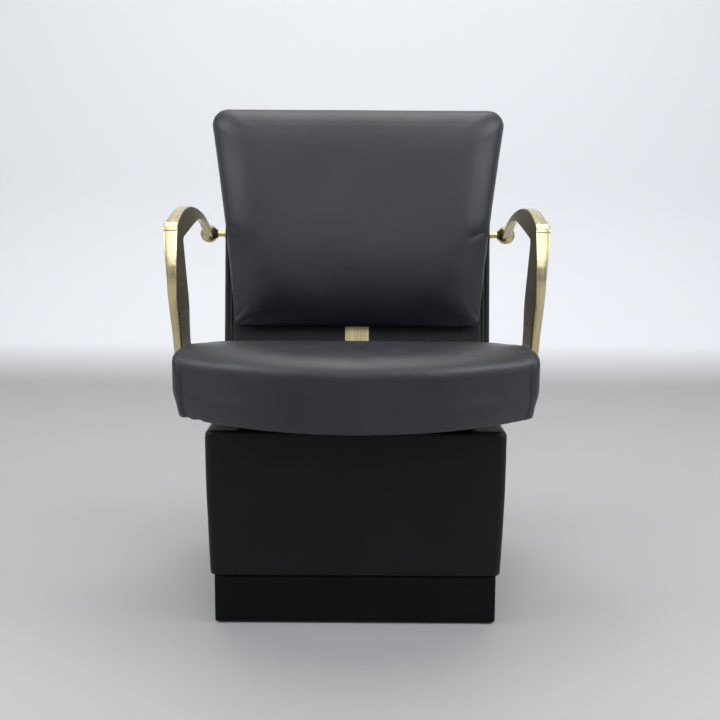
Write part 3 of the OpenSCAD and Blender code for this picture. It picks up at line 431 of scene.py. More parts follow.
def makeCloth(name):
    mat, tree, shader = newMaterial(name, roughness=0.9, specular=0.15)
    threads = []
    for direction in "XY":
        wave = tree.nodes.new("ShaderNodeTexWave")
        wave.bands_direction = direction
        wired(tree, wave, {"Vector": objectCoords(tree), "Scale": 180.0, "Distortion": 0.4})
        threads.append(wave.outputs["Fac"])
    weave = addUp(tree, *threads)
    colourMix(tree, shader, mapRange(tree, weave, 0.2, 1.8), (0.006, 0.006, 0.006), (0.02, 0.02, 0.02))
    bump(tree, shader, weave, 0.4, 0.0002)
    return mat


def makeFinishes():
    finishes = {
        "vinyl": makeVinyl("seatVinyl"),
        # the panel, box and plinth vinyls are darker copies of the seat vinyl, their lower tone painted shade
        "vinyl_panel": makeVinyl("panelVinylPaintedShade"),
        "vinyl_dark": makeVinyl("boxVinylPaintedShade"),
        "vinyl_plinth": makeVinyl("plinthVinylPaintedShade"),
        "cloth": makeCloth("dustCloth"),
        "foam": makeFoam("paleFoam"),
        "plywood": makeWood("plywood", (0.50, 0.34, 0.19), (0.66, 0.48, 0.29), 14.0, 0.6),
        "stained_wood": makeWood("blackStain", (0.010, 0.010, 0.010), (0.020, 0.019, 0.018), 20.0, 0.5),
        "hardwood": makeWood("beech", (0.42, 0.28, 0.16), (0.56, 0.40, 0.24), 18.0, 0.55),
        "gold_cast": makeGold("paleGold"),
        "gold_bar": makeGold("paleGoldBar", 0.05),
        "steel": makeSteel("zincSteel"),
        "nylon": makeNylon("brownNylon"),
    }
    for entry in frame["record"]["subparts"]:
        obj = nodes[entry["node"]]
        mat = finishes[entry["material_slot"]]
        if not obj.data.materials:
            obj.data.materials.append(mat)
        for i in range(len(obj.data.materials)):
            obj.data.materials[i] = mat
    return finishes


# padded pieces: a start form, a remesh, a pressure simulation and a limit on how far it may swell

filling = {
    "voxel": 0.006,
    "frames": 20,
    "quality": 4,
    "mass": 0.25,
    "pressure": 4.0,
    "stretch": 12.0,
    "shearShare": 0.4,
    "bend": 0.6,
}


def remeshed(obj):
    mod = obj.modifiers.new("voxels", "REMESH")
    mod.mode = "VOXEL"
    mod.voxel_size = filling["voxel"]
    mod.use_smooth_shade = True
    bakeModifiers(obj)


def evened(move, mesh, rounds):
    # each point's move shared with its neighbours, so that no narrow fold is left
    ends = np.zeros(len(mesh.edges) * 2, dtype=np.int64)
    mesh.edges.foreach_get("vertices", ends)
    a, b = ends.reshape(-1, 2).T
    count = np.bincount(ends, minlength=len(move))[:, None]
    for i in range(rounds):
        total = np.zeros_like(move)
        np.add.at(total, a, move[b])
        np.add.at(total, b, move[a])
        move = (move + total / np.maximum(count, 1)) / 2
    return move


def swell(obj, pinned, pad):
    # pinned: weight of each point that stays, 1 for fixed
    scene = bpy.context.scene
    scene.frame_start = 1
    scene.frame_end = filling["frames"]
    start = readPoints(obj)
    group = obj.vertex_groups.new(name="held")
    for i in np.nonzero(pinned > 0)[0]:
        group.add([int(i)], float(pinned[i]), "REPLACE")
    mod = obj.modifiers.new("pressure", "CLOTH")
    cloth = mod.settings
    cloth.quality = filling["quality"]
    cloth.mass = filling["mass"]
    cloth.tension_stiffness = filling["stretch"]
    cloth.compression_stiffness = filling["stretch"]
    cloth.shear_stiffness = filling["stretch"] * filling["shearShare"]
    cloth.bending_stiffness = filling["bend"]
    cloth.use_pressure = True
    cloth.uniform_pressure_force = filling["pressure"]
    cloth.effector_weights.gravity = 0
    cloth.vertex_group_mass = "held"
    mod.collision_settings.use_collision = False
    mod.point_cache.frame_start = 1
    mod.point_cache.frame_end = filling["frames"]
    for f in range(1, filling["frames"] + 1):
        scene.frame_set(f)
    puffed = readPoints(obj.evaluated_get(currentGraph()))
    obj.modifiers.remove(mod)
    obj.vertex_groups.clear()
    scene.frame_set(1)
    move = evened(puffed - start, obj.data, pad["evening"])
    reach = np.linalg.norm(move, axis=1, keepdims=True)
    move *= pad["cap"] / np.hypot(pad["cap"], reach)
    writePoints(obj, start + move)
    print(obj.name, "swelled by up to", round(float(reach.max()) * 1000, 1), "mm")


def subdivided(obj):
    mod = obj.modifiers.new("smooth", "SUBSURF")
    mod.levels = 1
    mod.render_levels = 1
    bakeModifiers(obj)


def softNoise(co, cell, seed):
    # smooth noise at every point, about -1 to 1
    offset = Vector((seed * 7.3, seed * 3.1, seed * 5.7))
    return np.array([noise.noise(Vector(p) / cell + offset) for p in co])


# seat cushion

seat = {
    "front": -0.3662,
    "depth": 0.597,
    "halfWidth": 0.3030,
    "taper": 0.007,
    "bow": 0.126,
    "bowPower": 2.1,
    "cornerRadius": 0.026,
    "rearRadius": 0.018,
    "underside": 0.404,
    "crownFront": 0.1205,
    "crownPeak": 0.121,
    "crownRear": 0.061,
    "peakShare": 0.24,
    "fallPower": 1.15,
    # inset and rise of the rings up the sides
    "sideRings": (
        (0.0075, -0.0030), (0.0055, -0.0022), (0.0042, 0.004),
        (0.0030, 0.012), (0.0018, 0.024), (0.0006, 0.036),
    ),
    "shoulders": (0.88, 0.94),
    "crownRings": (0.85, 0.7, 0.5, 0.3, 0.12),
    "edgeDrop": 0.002,
    # width and height of the rounded edge: behind, in front, and at the ends of the front
    "edge": (0.020, 0.019),
    "frontEdge": (0.046, 0.027),
    "endEdge": (0.050, 0.028),
    "start": 0.0006,
    "cap": 0.0028,
    "evening": 2,
    "sideLimits": (0.29, 0.304),
    "frontLimit": 0.3045,
    "taperFrom": 0.15,
    "taperLength": 0.43,
    "bulge": 0.0062,
    "waveCell": 0.11,
    "wave": 0.0012,
    "pullCell": 0.017,
    "pull": 0.0065,
    "hem": 0.038,
    "hemHeight": 0.008,
    "hemRise": 0.0035,
    # where something starts and where it is full: behind the front edge, from the middle, above the underside
    "frontZone": (0.20, 0.10),
    "armZone": (0.17, 0.20),
    "bulgeZone": (0.194, 0.145),
    "pullZone": (0.26, 0.14),
    "endSpan": (0.10, 0.29),
    "bulgeSpan": (0.20, 0.30),
    "pullSpan": (0.17, 0.27),
    "heldRise": (0.006, 0.02),
    "bulgeRise": (0.004, 0.05),
    "waveRise": (0.05, 0.09),
    "pullRise": (0.003, 0.026),
}


def seatPlan(inset, around=96):
    hw, bow, power = seat["halfWidth"] - inset, seat["bow"], seat["bowPower"]
    r, rr = seat["cornerRadius"], seat["rearRadius"]
    depth = seat["depth"] - 2 * inset
    slope = math.atan(power * bow / hw)
    bowX = hw - r * (1 - math.sin(slope))
    front = [(bowX * u, bow * abs(u) ** power) for u in np.linspace(-1, 1, around)]
    cx, cy = bowX - r * math.sin(slope), bow + r * math.cos(slope)
    right = []
    for i in range(1, 9):
        b = slope + (math.pi / 2 - slope) * i / 8
        right.append((cx + r * math.sin(b), cy - r * math.cos(b)))
    rear = hw - seat["taper"]
    for i in range(1, 40):
        y = cy + (depth - rr - cy) * i / 40
        right.append((hw - seat["taper"] * i / 40, y))
    for a in quarter(8):
        right.append((rear - rr + rr * math.cos(a), depth - rr + rr * math.sin(a)))
    back = [(x, depth) for x in np.linspace(rear - rr, -(rear - rr), 50)[1:-1]]
    left = [(-x, y) for x, y in reversed(right)]
    pts = np.array(front + right + back + left)
    pts[:, 1] += seat["front"] + inset
    return pts


def seatCrown(y):
    u = (y - seat["front"]) / seat["depth"]
    p, peak = seat["peakShare"], seat["crownPeak"]
    rise = peak - (peak - seat["crownFront"]) * np.clip((p - u) / p, 0, 1) ** 2
    fall = peak - (peak - seat["crownRear"]) * np.clip((u - p) / (1 - p), 0, 1) ** seat["fallPower"]
    return np.where(u < p, rise, fall)


def seatRings():
    start, low = seat["start"], seat["underside"]
    middle = np.array([0.0, seat["front"] + seat["depth"] / 2])
    rings = []
    # lower edge and upright sides, a little wider towards the top
    for inset, rise in seat["sideRings"]:
        plan = seatPlan(start + inset)
        rings.append(np.column_stack([plan, np.full(len(plan), low + rise)]))
    plan = seatPlan(start)
    ahead = between(seat["front"], seat["frontZone"], plan[:, 1])
    ends = smoothStep(*seat["endSpan"], np.abs(plan[:, 0]))
    edge, front, end = (np.array(seat[key])[:, None] for key in ("edge", "frontEdge", "endEdge"))
    wide, tall = edge + (front + (end - front) * ends - edge) * ahead
    inward = unit(middle - plan)
    top = seatCrown(plan[:, 1]) - start - seat["edgeDrop"]
    for share in seat["shoulders"]:
        rings.append(np.column_stack([plan, low + (top - tall) * share]))
    for a in quarter(9):
        flat = plan + inward * (wide * (1 - math.cos(a)))[:, None]
        rings.append(np.column_stack([flat, low + top - tall * (1 - math.sin(a))]))
    inner = rings[-1][:, :2]
    for s in seat["crownRings"]:
        flat = middle + (inner - middle) * s
        crown = seatCrown(flat[:, 1]) - start - seat["edgeDrop"] * s * s
        rings.append(np.column_stack([flat, low + crown]))
    return rings


def shapeSeat(co):
    low, front = seat["underside"], seat["front"]
    x, y, z = co.T
    # keep the sides inside the plan of the frame, and the underside flat
    z[:] = np.maximum(z, low + 0.0003)
    behind = between(front, seat["armZone"], y)
    narrowed = seat["taper"] * (y - front - seat["taperFrom"]) / seat["taperLength"]
    side = np.clip(seat["halfWidth"] - narrowed, *seat["sideLimits"])
    limit = side * behind + seat["frontLimit"] * (1 - behind)
    x[:] = np.clip(x, -limit, limit)
    # the front corners bulge past the frame, clear of the arms
    ahead = between(front, seat["bulgeZone"], y)
    full = between(low, seat["bulgeRise"], z) * smoothStep(*seat["bulgeSpan"], np.abs(x))
    x += np.sign(x) * seat["bulge"] * ahead * full
    y[:] = np.minimum(y, front + seat["depth"])
    # slight hollows where people have sat
    z += softNoise(co, seat["waveCell"], 1) * seat["wave"] * between(low, seat["waveRise"], z)
    # the pull of the vinyl at the lower front corners
    corner = smoothStep(*seat["pullSpan"], np.abs(x)) * between(front, seat["pullZone"], y)
    pull = softNoise(co * (1.0, 0.6, 0.2), seat["pullCell"], 2)
    lower = 1 - between(low, seat["pullRise"], z)
    z += np.maximum(pull, 0) * seat["pull"] * corner * lower
    # the underside steps up inside the hem, where the dust cover shows
    z[(z < low + seat["hemHeight"]) & insidePlan(co[:, :2], seatPlan(seat["hem"]))] = low + seat["hemRise"]
    return co


def makeSeat(finishes):
    obj = meshObject("seatCushion", *loftRings(seatRings()))
    faceOutwards(obj)
    remeshed(obj)
    held = 1 - between(seat["underside"], seat["heldRise"], readPoints(obj)[:, 2])
    swell(obj, held, seat)
    subdivided(obj)
    writePoints(obj, shapeSeat(readPoints(obj)))
    obj.data.materials.append(finishes["vinyl"])
    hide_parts("seat_cover", "seat_foam")
    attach(obj, "chair")
    print("seat cushion done,", len(obj.data.polygons), "faces")
    return obj


seam = {
    "width": 0.0058,
    "proud": 0.0011,
    "sunk": 0.0012,
    "stitchGap": 0.0021,
    "stitchLift": 0.0002,
    # the rays that find the seam start inside the seat
    "fromX": 0.262,
    "fromY": -0.2080,
    "toY": 0.214,
    "lowRise": 0.006,
    "turnRise": 0.064,
    "belowCrown": 0.034,
    "outward": 0.80,
    "upward": 0.95,
}


def seatSeamPath(tree, side):
    # up the front corner, then back along the upper edge, as rays from inside the cushion
    low, out, up = seat["underside"], side * seam["outward"], seam["upward"]
    x, y0 = side * seam["fromX"], seam["fromY"]
    rays = []
    for z in np.linspace(low + seam["lowRise"], low + seam["turnRise"], 22):
        rays.append(((x, y0, z), (out, -1.0, 0.0)))
    for a in np.linspace(0.0, math.pi / 2, 20)[1:]:
        rays.append(((x, y0, low + seam["turnRise"]), (out, -math.cos(a), up * math.sin(a))))
    for y in np.linspace(y0, seam["toY"], 60)[1:]:
        base = low + float(seatCrown(np.array([y]))[0]) - seam["belowCrown"]
        rays.append(((x, y, base), (out, 0.0, up)))
    points, normals = [], []
    for start, aim in rays:
        hit, normal, index, far = tree.ray_cast(Vector(start), Vector(aim).normalized())
        if hit is not None:
            points.append(np.array(hit))
            normals.append(np.array(normal))
    points, normals = np.array(points), np.array(normals)
    for k in range(6):
        points[1:-1] = (points[:-2] + 2 * points[1:-1] + points[2:]) / 4
        normals[1:-1] = (normals[:-2] + 2 * normals[1:-1] + normals[2:]) / 4
    return points, unit(normals)


def seamRidge(points, normals):
    # low rounded strip on the surface, its edges sunk in
    across = unit(np.cross(unit(np.gradient(points, axis=0)), normals))
    tall = seam["proud"] + seam["sunk"]
    shape = []
    for i in range(9):
        u = -1 + 2 * i / 8
        shape.append((u * seam["width"] / 2, seam["proud"] - tall * abs(u) ** 3))
    shape.append((0.0, -seam["sunk"] * 1.6))
    rings = []
    for p, side, n in zip(points, across, normals):
        rings.append([p + side * w + n * h for w, h in shape])
    verts, faces = loftRings(rings)
    return verts, faces, across


def makeSeatSeams(finishes, cushionObj):
    tree = BVHTree.FromObject(cushionObj, currentGraph())
    verts, faces, runs = [], [], []
    for side in (1, -1):
        points, normals = seatSeamPath(tree, side)
        v, f, across = seamRidge(points, normals)
        faces += [tuple(i + len(verts) for i in face) for face in f]
        verts += v
        reach = seam["width"] / 2 + seam["stitchGap"]
        for edge in (-1, 1):
            runs.append(points + across * (edge * reach) + normals * seam["stitchLift"])
    obj = meshObject("seatSeams", verts, faces)
    faceOutwards(obj)
    obj.data.materials.append(finishes["vinyl"])
    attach(obj, "chair")
    print("seat seams done")
    return runs


dust = {
    "cell": 0.03,
    "puckerCell": 0.05,
    "pucker": 0.00025,
}


def makeDustCover(finishes):
    # stretched over the underside of the seat board, with its bolt holes and hardly any pucker
    bm = bmesh.new()
    bm.from_mesh(nodes["dust_cover"].data)
    bmesh.ops.remove_doubles(bm, verts=bm.verts, dist=1e-6)
    low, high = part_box("dust_cover")
    for axis in (0, 1):
        cutAcross(bm, axis, np.arange(low[axis] + dust["cell"], high[axis], dust["cell"]))
    obj = fromBmesh("dustCover", bm)
    co = readPoints(obj)
    lower = co[:, 2] < (low[2] + high[2]) / 2
    co[:, 2] += softNoise(co, dust["puckerCell"], 7) * dust["pucker"] * lower
    writePoints(obj, co)
    obj.data.materials.append(finishes["cloth"])
    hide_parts("dust_cover")
    plan = seatPlan(seat["hem"], around=48)
    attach(obj, "chair")
    print("dust cover done")


def insidePlan(points, plan):
    # crossing test for many points against one outline
    x, y = points.T
    inside = np.zeros(len(points), bool)
    for (x0, y0), (x1, y1) in zip(plan, np.roll(plan, -1, axis=0)):
        if y0 != y1:
            inside ^= ((y0 > y) != (y1 > y)) & (x < (x1 - x0) * (y - y0) / (y1 - y0) + x0)
    return inside


# back: the panel's own frame has x across, depth rearwards and rise up its slope

back = {
    "foot": (0.2377, 0.416),
    "lean": 9.3,
    "panelHalf": 0.276,
    "panelLength": 0.520,
    "panelThick": 0.045,
    "cornerRadius": 0.0035,
    "edgeRadius": 0.0035,
    "rearRadius": 0.008,
    "rearCrown": 0.0016,
    "frontInsets": (0.24, 0.16, 0.09, 0.045, 0.025),
    "rearInsets": (0.014, 0.024, 0.04, 0.07, 0.11, 0.17, 0.24),
    "seams": (0.0105, 0.0180),
    "seamDepth": 0.0016,
    "seamLip": 0.0004,
    # offset from the seam's middle line and share of its depth
    "groove": ((0.0022, 0.0), (0.0010, 0.5), (0.0, 1.0), (-0.0010, 0.5), (-0.0022, 0.0)),
}


def backFrame():
    # foot of the panel's face, its normal and the direction up its slope
    a = math.radians(back["lean"])
    foot = np.array([0.0, *back["foot"]])
    return foot, np.array([0.0, math.cos(a), -math.sin(a)]), np.array([0.0, math.sin(a), math.cos(a)])


def onBack(co):
    foot, normal, slope = backFrame()
    co = np.array(co, float)
    return foot + co[:, :1] * (1, 0, 0) + co[:, 1:2] * normal + co[:, 2:] * slope


def roundedOutline(halfX, low, high, radius, perSide=24, perCorner=8):
    # counter-clockwise from the lower right corner
    x, low, high = halfX - radius, low + radius, high - radius
    corners = [(x, low, -90), (x, high, 0), (-x, high, 90), (-x, low, 180)]

    def onCorner(k, turn):
        cx, cy, first = corners[k % 4]
        a = math.radians(first + turn)
        return cx + radius * math.cos(a), cy + radius * math.sin(a)

    pts = []
    for k in range(4):
        pts += [onCorner(k, 90 * i / perCorner) for i in range(perCorner + 1)]
        start, end = np.array(pts[-1]), np.array(onCorner(k + 1, 0))
        pts += [tuple(start + (end - start) * i / perSide) for i in range(1, perSide)]
    return np.array(pts)


def makePanel(finishes):
    half, length, thick = back["panelHalf"], back["panelLength"], back["panelThick"]
    edge, rear = back["edgeRadius"], back["rearRadius"]
    rings = []

    def ring(inset, depth):
        radius = max(back["cornerRadius"] - inset, 0.001)
        pts = roundedOutline(half - inset, inset, length - inset, radius)
        rings.append(onBack(np.column_stack([pts[:, 0], np.full(len(pts), depth), pts[:, 1]])))

    for inset in back["frontInsets"]:
        ring(inset, 0.0)
    for line in reversed(back["seams"]):
        for offset, drop in back["groove"]:
            ring(line + offset, back["seamDepth"] * drop - back["seamLip"] * (1 - drop))
    for a in quarter(6):
        ring(edge * (1 - math.sin(a)), edge * (1 - math.cos(a)))
    for i in range(1, 7):
        ring(0.0, edge + (thick - edge - rear) * i / 7)
    for a in quarter(8):
        ring(rear * (1 - math.cos(a)), thick - rear * (1 - math.sin(a)))
    for inset in back["rearInsets"]:
        ring(inset, thick + back["rearCrown"] * float(smoothStep(0.0, 0.16, inset)))
    obj = meshObject("backPanel", *loftRings(rings))
    faceOutwards(obj)
    obj.data.materials.append(finishes["vinyl_panel"])
    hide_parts("back_panel_cover")
    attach(obj, "chair")
    print("back panel done")


cushion = {
    "gap": 0.0003,
    "lift": 0.076,
    "length": 0.448,
    "halfTop": 0.306,
    "halfLow": 0.253,
    "taperPower": 1.25,
    "topRadius": 0.034,
    "lowRadius": 0.024,
    "thick": 0.088,
    "side": 0.036,
    # inset and depth of the rings up the sides
    "sideRings": ((0.008, 0.0), (0.0055, 0.0015), (0.0032, 0.006), (0.0012, 0.014), (0.0, 0.024)),
    "domeRings": (
        0.995, 0.985, 0.97, 0.95, 0.925, 0.895, 0.86, 0.82,
        0.77, 0.71, 0.64, 0.55, 0.45, 0.34, 0.22, 0.1,
    ),
    "bellyTop": 0.180,
    "bellyLow": 0.015,
    "bellyHalf": 0.222,
    "roll": 0.38,
    "cornerDrop": 0.50,
    "start": -0.0006,
    "cap": 0.0026,
    "evening": 9,
    "waveCell": 0.12,
    "wave": 0.001,
    "leastTight": 6.0,
    "moreTight": 2.0,
    "tightZone": (0.2, 0.6),
    "cornerZone": (0.86, 1.48),
    "cornerRise": (0.13, 0.22),
    "mostDrop": 0.9,
    "heldDepth": (0.004, 0.016),
    "reliefDepth": (0.02, 0.045),
}


def cushionHalf(v):
    low, top = cushion["halfLow"], cushion["halfTop"]
    return low + (top - low) * np.clip(v, 0, 1) ** cushion["taperPower"]


def cushionPlan(inset):
    length, rt, rl = cushion["length"], cushion["topRadius"], cushion["lowRadius"]
    z0, z1 = rl, length - rt
    lowX, topX = cushionHalf(z0 / length) - rl, cushionHalf(z1 / length) - rt
    right = [(lowX + rl * math.sin(a), rl - rl * math.cos(a)) for a in quarter(8)]
    for i in range(1, 40):
        z = z0 + (z1 - z0) * i / 40
        right.append((cushionHalf(z / length), z))
    right += [(topX + rt * math.cos(a), z1 + rt * math.sin(a)) for a in quarter(8)]
    top = [(x, length) for x in np.linspace(right[-1][0], -right[-1][0], 40)[1:-1]]
    low = [(x, 0.0) for x in np.linspace(-right[0][0], right[0][0], 40)[1:-1]]
    left = [(-x, z) for x, z in reversed(right)]
    pts = np.array(right + top + left + low)
    middle = np.array([0.0, length / 2])
    span = np.array([cushion["halfLow"] + 0.02, length / 2])
    pts = middle + (pts - middle) * (1 - inset / span)
    pts[:, 1] += cushion["lift"]
    return pts


def cushionDome(x, rise, s):
    # share of the dome's height: round at the edge, rolled under below, drawn back at the lower corners
    up = rise - cushion["lift"]
    v = np.clip(up / cushion["length"], 0, 1)
    tight = cushion["leastTight"] + cushion["moreTight"] * smoothStep(*cushion["tightZone"], v)
    edge = np.sqrt(np.clip(1 - s ** tight, 0, 1))
    down = np.clip(cushion["bellyTop"] - up, 0, None) / (cushion["bellyTop"] - cushion["bellyLow"])
    belly = np.hypot(x / cushion["bellyHalf"], down)
    corner = smoothStep(*cushion["cornerZone"], belly) * (1 - smoothStep(*cushion["cornerRise"], up))
    drop = cushion["roll"] * down ** 2 + cushion["cornerDrop"] * corner
    return edge * (1 - np.minimum(drop, cushion["mostDrop"]))


# pulls in the vinyl beside the pins: from the edge inwards, across and rise, depth and width
creases = [
    ((0.287, 0.292), (0.232, 0.258), 0.0060, 0.0070),
    ((-0.287, 0.294), (-0.243, 0.272), 0.0032, 0.0062),
    ((0.252, 0.094), (0.226, 0.128), 0.0022, 0.0045),
    ((-0.252, 0.094), (-0.222, 0.122), 0.0026, 0.0045),
    ((-0.240, 0.086), (-0.200, 0.104), 0.0018, 0.0040),
]


def creaseDepth(x, rise):
    total = np.zeros(len(x))
    for start, end, depth, width in creases:
        a, b = np.array(start), np.array(end)
        p = np.column_stack([x, rise]) - a
        along = b - a
        t = np.clip(p @ along / (along @ along), 0, 1)
        away = np.linalg.norm(p - t[:, None] * along, axis=1)
        total += depth * np.exp(-(away / width) ** 2) * (1 - 0.75 * t)
    return total


def cushionRings():
    start, side = cushion["start"], cushion["side"]
    thick = cushion["thick"] - start
    rings = []
    for inset, depth in (*cushion["sideRings"], (0.0, side)):
        x, z = cushionPlan(start + inset).T
        rings.append(np.column_stack([x, np.zeros(len(x)) - cushion["gap"] - depth, z]))
    outer = rings[-1][:, [0, 2]]
    middle = np.array([0.0, cushion["lift"] + cushion["length"] / 2])
    for s in cushion["domeRings"]:
        x, z = (middle + (outer - middle) * s).T
        depth = side + (thick - side) * cushionDome(x, z, s)
        rings.append(np.column_stack([x, -cushion["gap"] - depth, z]))
    return [onBack(r) for r in rings]


def makeCushion(finishes):
    obj = meshObject("backCushion", *loftRings(cushionRings()))
    faceOutwards(obj)
    remeshed(obj)
    foot, normal, slope = backFrame()
    # depth is how far a point stands in front of the panel's face
    depth = -(readPoints(obj) - foot) @ normal
    swell(obj, 1 - smoothStep(*cushion["heldDepth"], depth), cushion)
    subdivided(obj)
    co = readPoints(obj)
    depth, rise = -(co - foot) @ normal, (co - foot) @ slope
    relief = creaseDepth(co[:, 0], rise) + softNoise(co, cushion["waveCell"], 3) * cushion["wave"]
    co += (relief * smoothStep(*cushion["reliefDepth"], depth))[:, None] * normal
    behind = np.minimum(-(co - foot) @ normal - cushion["gap"], 0)
    co += behind[:, None] * normal
    writePoints(obj, co)
    obj.data.materials.append(finishes["vinyl"])
    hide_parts("back_cushion_cover", "back_foam")
    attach(obj, "chair")
    print("back cushion done,", len(obj.data.polygons), "faces")


# box and plinth

box = {
    "halfWidth": 0.2605,
    "front": -0.14183,
    "rear": 0.36617,
    "low": 0.096,
    "high": 0.361,
    "swell": 0.0055,
    "cornerRadius": 0.014,
    "topRadius": 0.010,
    "innerRadius": 0.010,
    "lowInsets": (0.2, 0.12, 0.05, 0.012),
    "lowEdge": ((-0.003, 0.0), (-0.0008, 0.0008), (0.0, 0.003)),
    "sideShares": (0.04, 0.1, 0.2, 0.3, 0.4, 0.5, 0.6, 0.7, 0.78, 0.85, 0.9, 0.93),
    "swellFull": 0.85,
    "topInsets": (0.02, 0.05, 0.1, 0.16, 0.21),
    "wrinkle": 0.0007,
    "wrinkleRise": (0.02, 0.1),
}


def planRing(halfX, front, rear, radius, z):
    pts = roundedOutline(halfX, front, rear, radius, perSide=60, perCorner=10)
    return np.column_stack([pts, np.full(len(pts), z)])


def makeBox(finishes):
    low, high, grown, r = box["low"], box["high"], box["swell"], box["topRadius"]
    rings = []

    def ring(grow, z, radius=box["cornerRadius"]):
        rings.append(planRing(box["halfWidth"] + grow, box["front"] - grow * 0.5, box["rear"], radius, z))

    for inset in box["lowInsets"]:
        ring(-inset, low, box["innerRadius"])
    for grow, rise in box["lowEdge"]:
        ring(grow, low + rise)
    for share in box["sideShares"]:
        full = math.sin(math.pi / 2 * min(share / box["swellFull"], 1))
        ring(grown * full, low + (high - low) * share)
    for a in quarter(7, 1):
        ring(grown - r * (1 - math.cos(a)), high - r * (1 - math.sin(a)))
    for inset in box["topInsets"]:
        ring(-inset, high, box["innerRadius"])
    obj = meshObject("boxCover", *loftRings(rings))
    faceOutwards(obj)
    # slight wrinkles in the front and the sides, flatter towards the lower edge
    co = readPoints(obj)
    x, y, z = co.T
    wave = softNoise(co, 0.07, 4) + 0.5 * softNoise(co, 0.03, 5)
    move = wave * box["wrinkle"] * between(low, box["wrinkleRise"], z)
    x += np.sign(x) * (np.abs(x) > 0.25) * move
    y -= (y < box["front"] + 0.01) * move
    writePoints(obj, co)
    obj.data.materials.append(finishes["vinyl_dark"])
    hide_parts("box_cover")
    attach(obj, "chair")
    print("box cover done")


plinth = {
    "halfWidth": 0.254,
    "front": -0.12883,
    "rear": 0.35317,
    "low": 0.004,
    "high": 0.096,
    "radius": 0.004,
    "skin": 0.0014,
    # the hem ends before the pockets of the feet
    "hem": 0.0068,
    "hemRise": 0.0022,
    "hemRadius": 0.002,
}


def makePlinth(finishes):
    hw, y0, y1, low, high = (plinth[key] for key in ("halfWidth", "front", "rear", "low", "high"))
    hem, rise, skin = plinth["hem"], plinth["hemRise"], plinth["skin"]
    rings = []

    def ring(inset, z, radius=plinth["radius"]):
        rings.append(planRing(hw - inset, y0 + inset, y1 - inset, radius, z))

    ring(hem, low + rise, plinth["hemRadius"])
    ring(hem, low, plinth["hemRadius"])
    ring(skin, low)
    ring(0.0004, low + 0.0006)
    ring(0.0, low + 0.002)
    for share in (0.2, 0.4, 0.6, 0.8, 1.0):
        ring(0.0, low + (high - low) * share)
    ring(skin, high)
    ring(skin, low + rise)
    obj = meshObject("plinthCover", *loftRings(rings, capped=False))
    faceOutwards(obj)
    obj.data.materials.append(finishes["vinyl_plinth"])
    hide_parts("plinth_cover")
    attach(obj, "chair")
    print("plinth done")


# arms

arm = {
    "frontY": -0.18217,
    "topZ": 0.719,
    "crestZ": 0.7465,
    "lowZ": 0.4121,
    "barHeight": 0.027,
    "legTop": 0.064,
    "legLow": 0.104,
    "sweep": 0.076,
    "bulge": 0.022,
    "pin": (0.3088, 0.6830),
    "innerX": 0.30264,
    "stepIn": 0.004,
    "faceWidth": 0.025,
    "barWidth": 0.0165,
    "legThick": 0.0165,
    "lowThick": 0.016,
    "bevel": 0.0028,
    "capInset": 0.0012,
    # thickness of the slab that is cut to shape, more than any part of the arm
    "slab": 0.1,
    "ballRadius": 0.019,
    "ballOut": 0.014,
    "neckWidth": 0.018,
    "neckLength": 0.189,
    "ballRounds": 40,
    "bossRadius": 0.00875,
    "bossBevel": 0.0006,
    "holeRadius": 0.00645,
    "curveSteps": 26,
    # heights of the seat's underside, of the four turns of the front view above it, and of its end
    "seatZ": 0.404,
    "rise": 0.315,
    "turns": (0.3, 0.6, 0.76, 0.96),
    "endZ": 0.8,
    "ease": 0.02,
    "slack": 0.001,
    "blend": 0.0012,
    "cell": 0.007,
    "cutLow": 0.42,
    "cutHigh": 0.752,
}


def armOutline():
    # cubic curves, their inner points in shares of the bar's height, and how many steps each takes
    h, fy, tz, cz, lz = arm["barHeight"], arm["frontY"], arm["topZ"], arm["crestZ"], arm["lowZ"]
    by, bz = arm["pin"]
    nose, root, n = h / 2, arm["ballRadius"] * 0.52, arm["curveSteps"]
    legY, toeY = fy + arm["legTop"], fy + arm["sweep"]
    heelY = toeY + arm["legLow"]
    browLow, browHigh = (fy, tz - 0.7 * nose), (fy + nose, tz + 0.4 * nose)
    rootHigh, rootLow = (by - nose / 2, bz + root), (by - root, bz - root)
    apex = (by - 8.6 * h, cz - 0.95 * h)
    pitHigh, pitLow = (legY + 0.25 * h, tz - 0.85 * h), (legY, tz - 1.1 * h)
    heelHigh, heelLow = (heelY, lz + nose), (heelY - nose, lz)
    toeLow, toeHigh = (toeY + nose, lz), (toeY, lz + nose)
    curves = [
        ([browHigh, (fy + 5.5 * h, cz + 1.05 * h), (by - 6.3 * h, cz - 0.6 * h), rootHigh], n),
        ([rootHigh, (by, bz + root * 0.5), (by, bz - root * 0.5), rootLow], 4),
        ([rootLow, (by - 3.4 * h, cz - 1.2 * h), (by - 7 * h, cz - 0.98 * h), apex], n),
        ([apex, (apex[0] - h, apex[1]), (legY + 2.4 * h, tz - 0.52 * h), pitHigh], n // 2),
        ([pitHigh, (legY + 0.08 * h, tz - 0.89 * h), (legY, tz - 0.95 * h), pitLow], 8),
        ([pitLow, (legY + 1.9 * h, tz - 5.4 * h), (heelY - 1.3 * h, lz + 4 * h), heelHigh], n),
        ([heelHigh, (heelY + nose / 4, lz + nose / 3), (heelY - nose / 3, lz), heelLow], 8),
        ([heelLow, (heelY - 2 * nose, lz), (toeY + 2 * nose, lz), toeLow], 6),
        ([toeLow, (toeY + nose / 3, lz), (toeY, lz + nose / 3), toeHigh], 8),
        ([toeHigh, (toeY - h, lz + 6.6 * h), (fy - 3 * arm["bulge"], tz - 5.7 * h), browLow], n),
        ([browLow, (fy, tz - 0.2 * nose), (fy + 0.3 * nose, tz + 0.1 * nose), browHigh], 10),
    ]
    return np.array([p for points, steps in curves for p in cubic(points, steps)])


def mixed(a, b, share):
    return a * (1 - share) + b * share


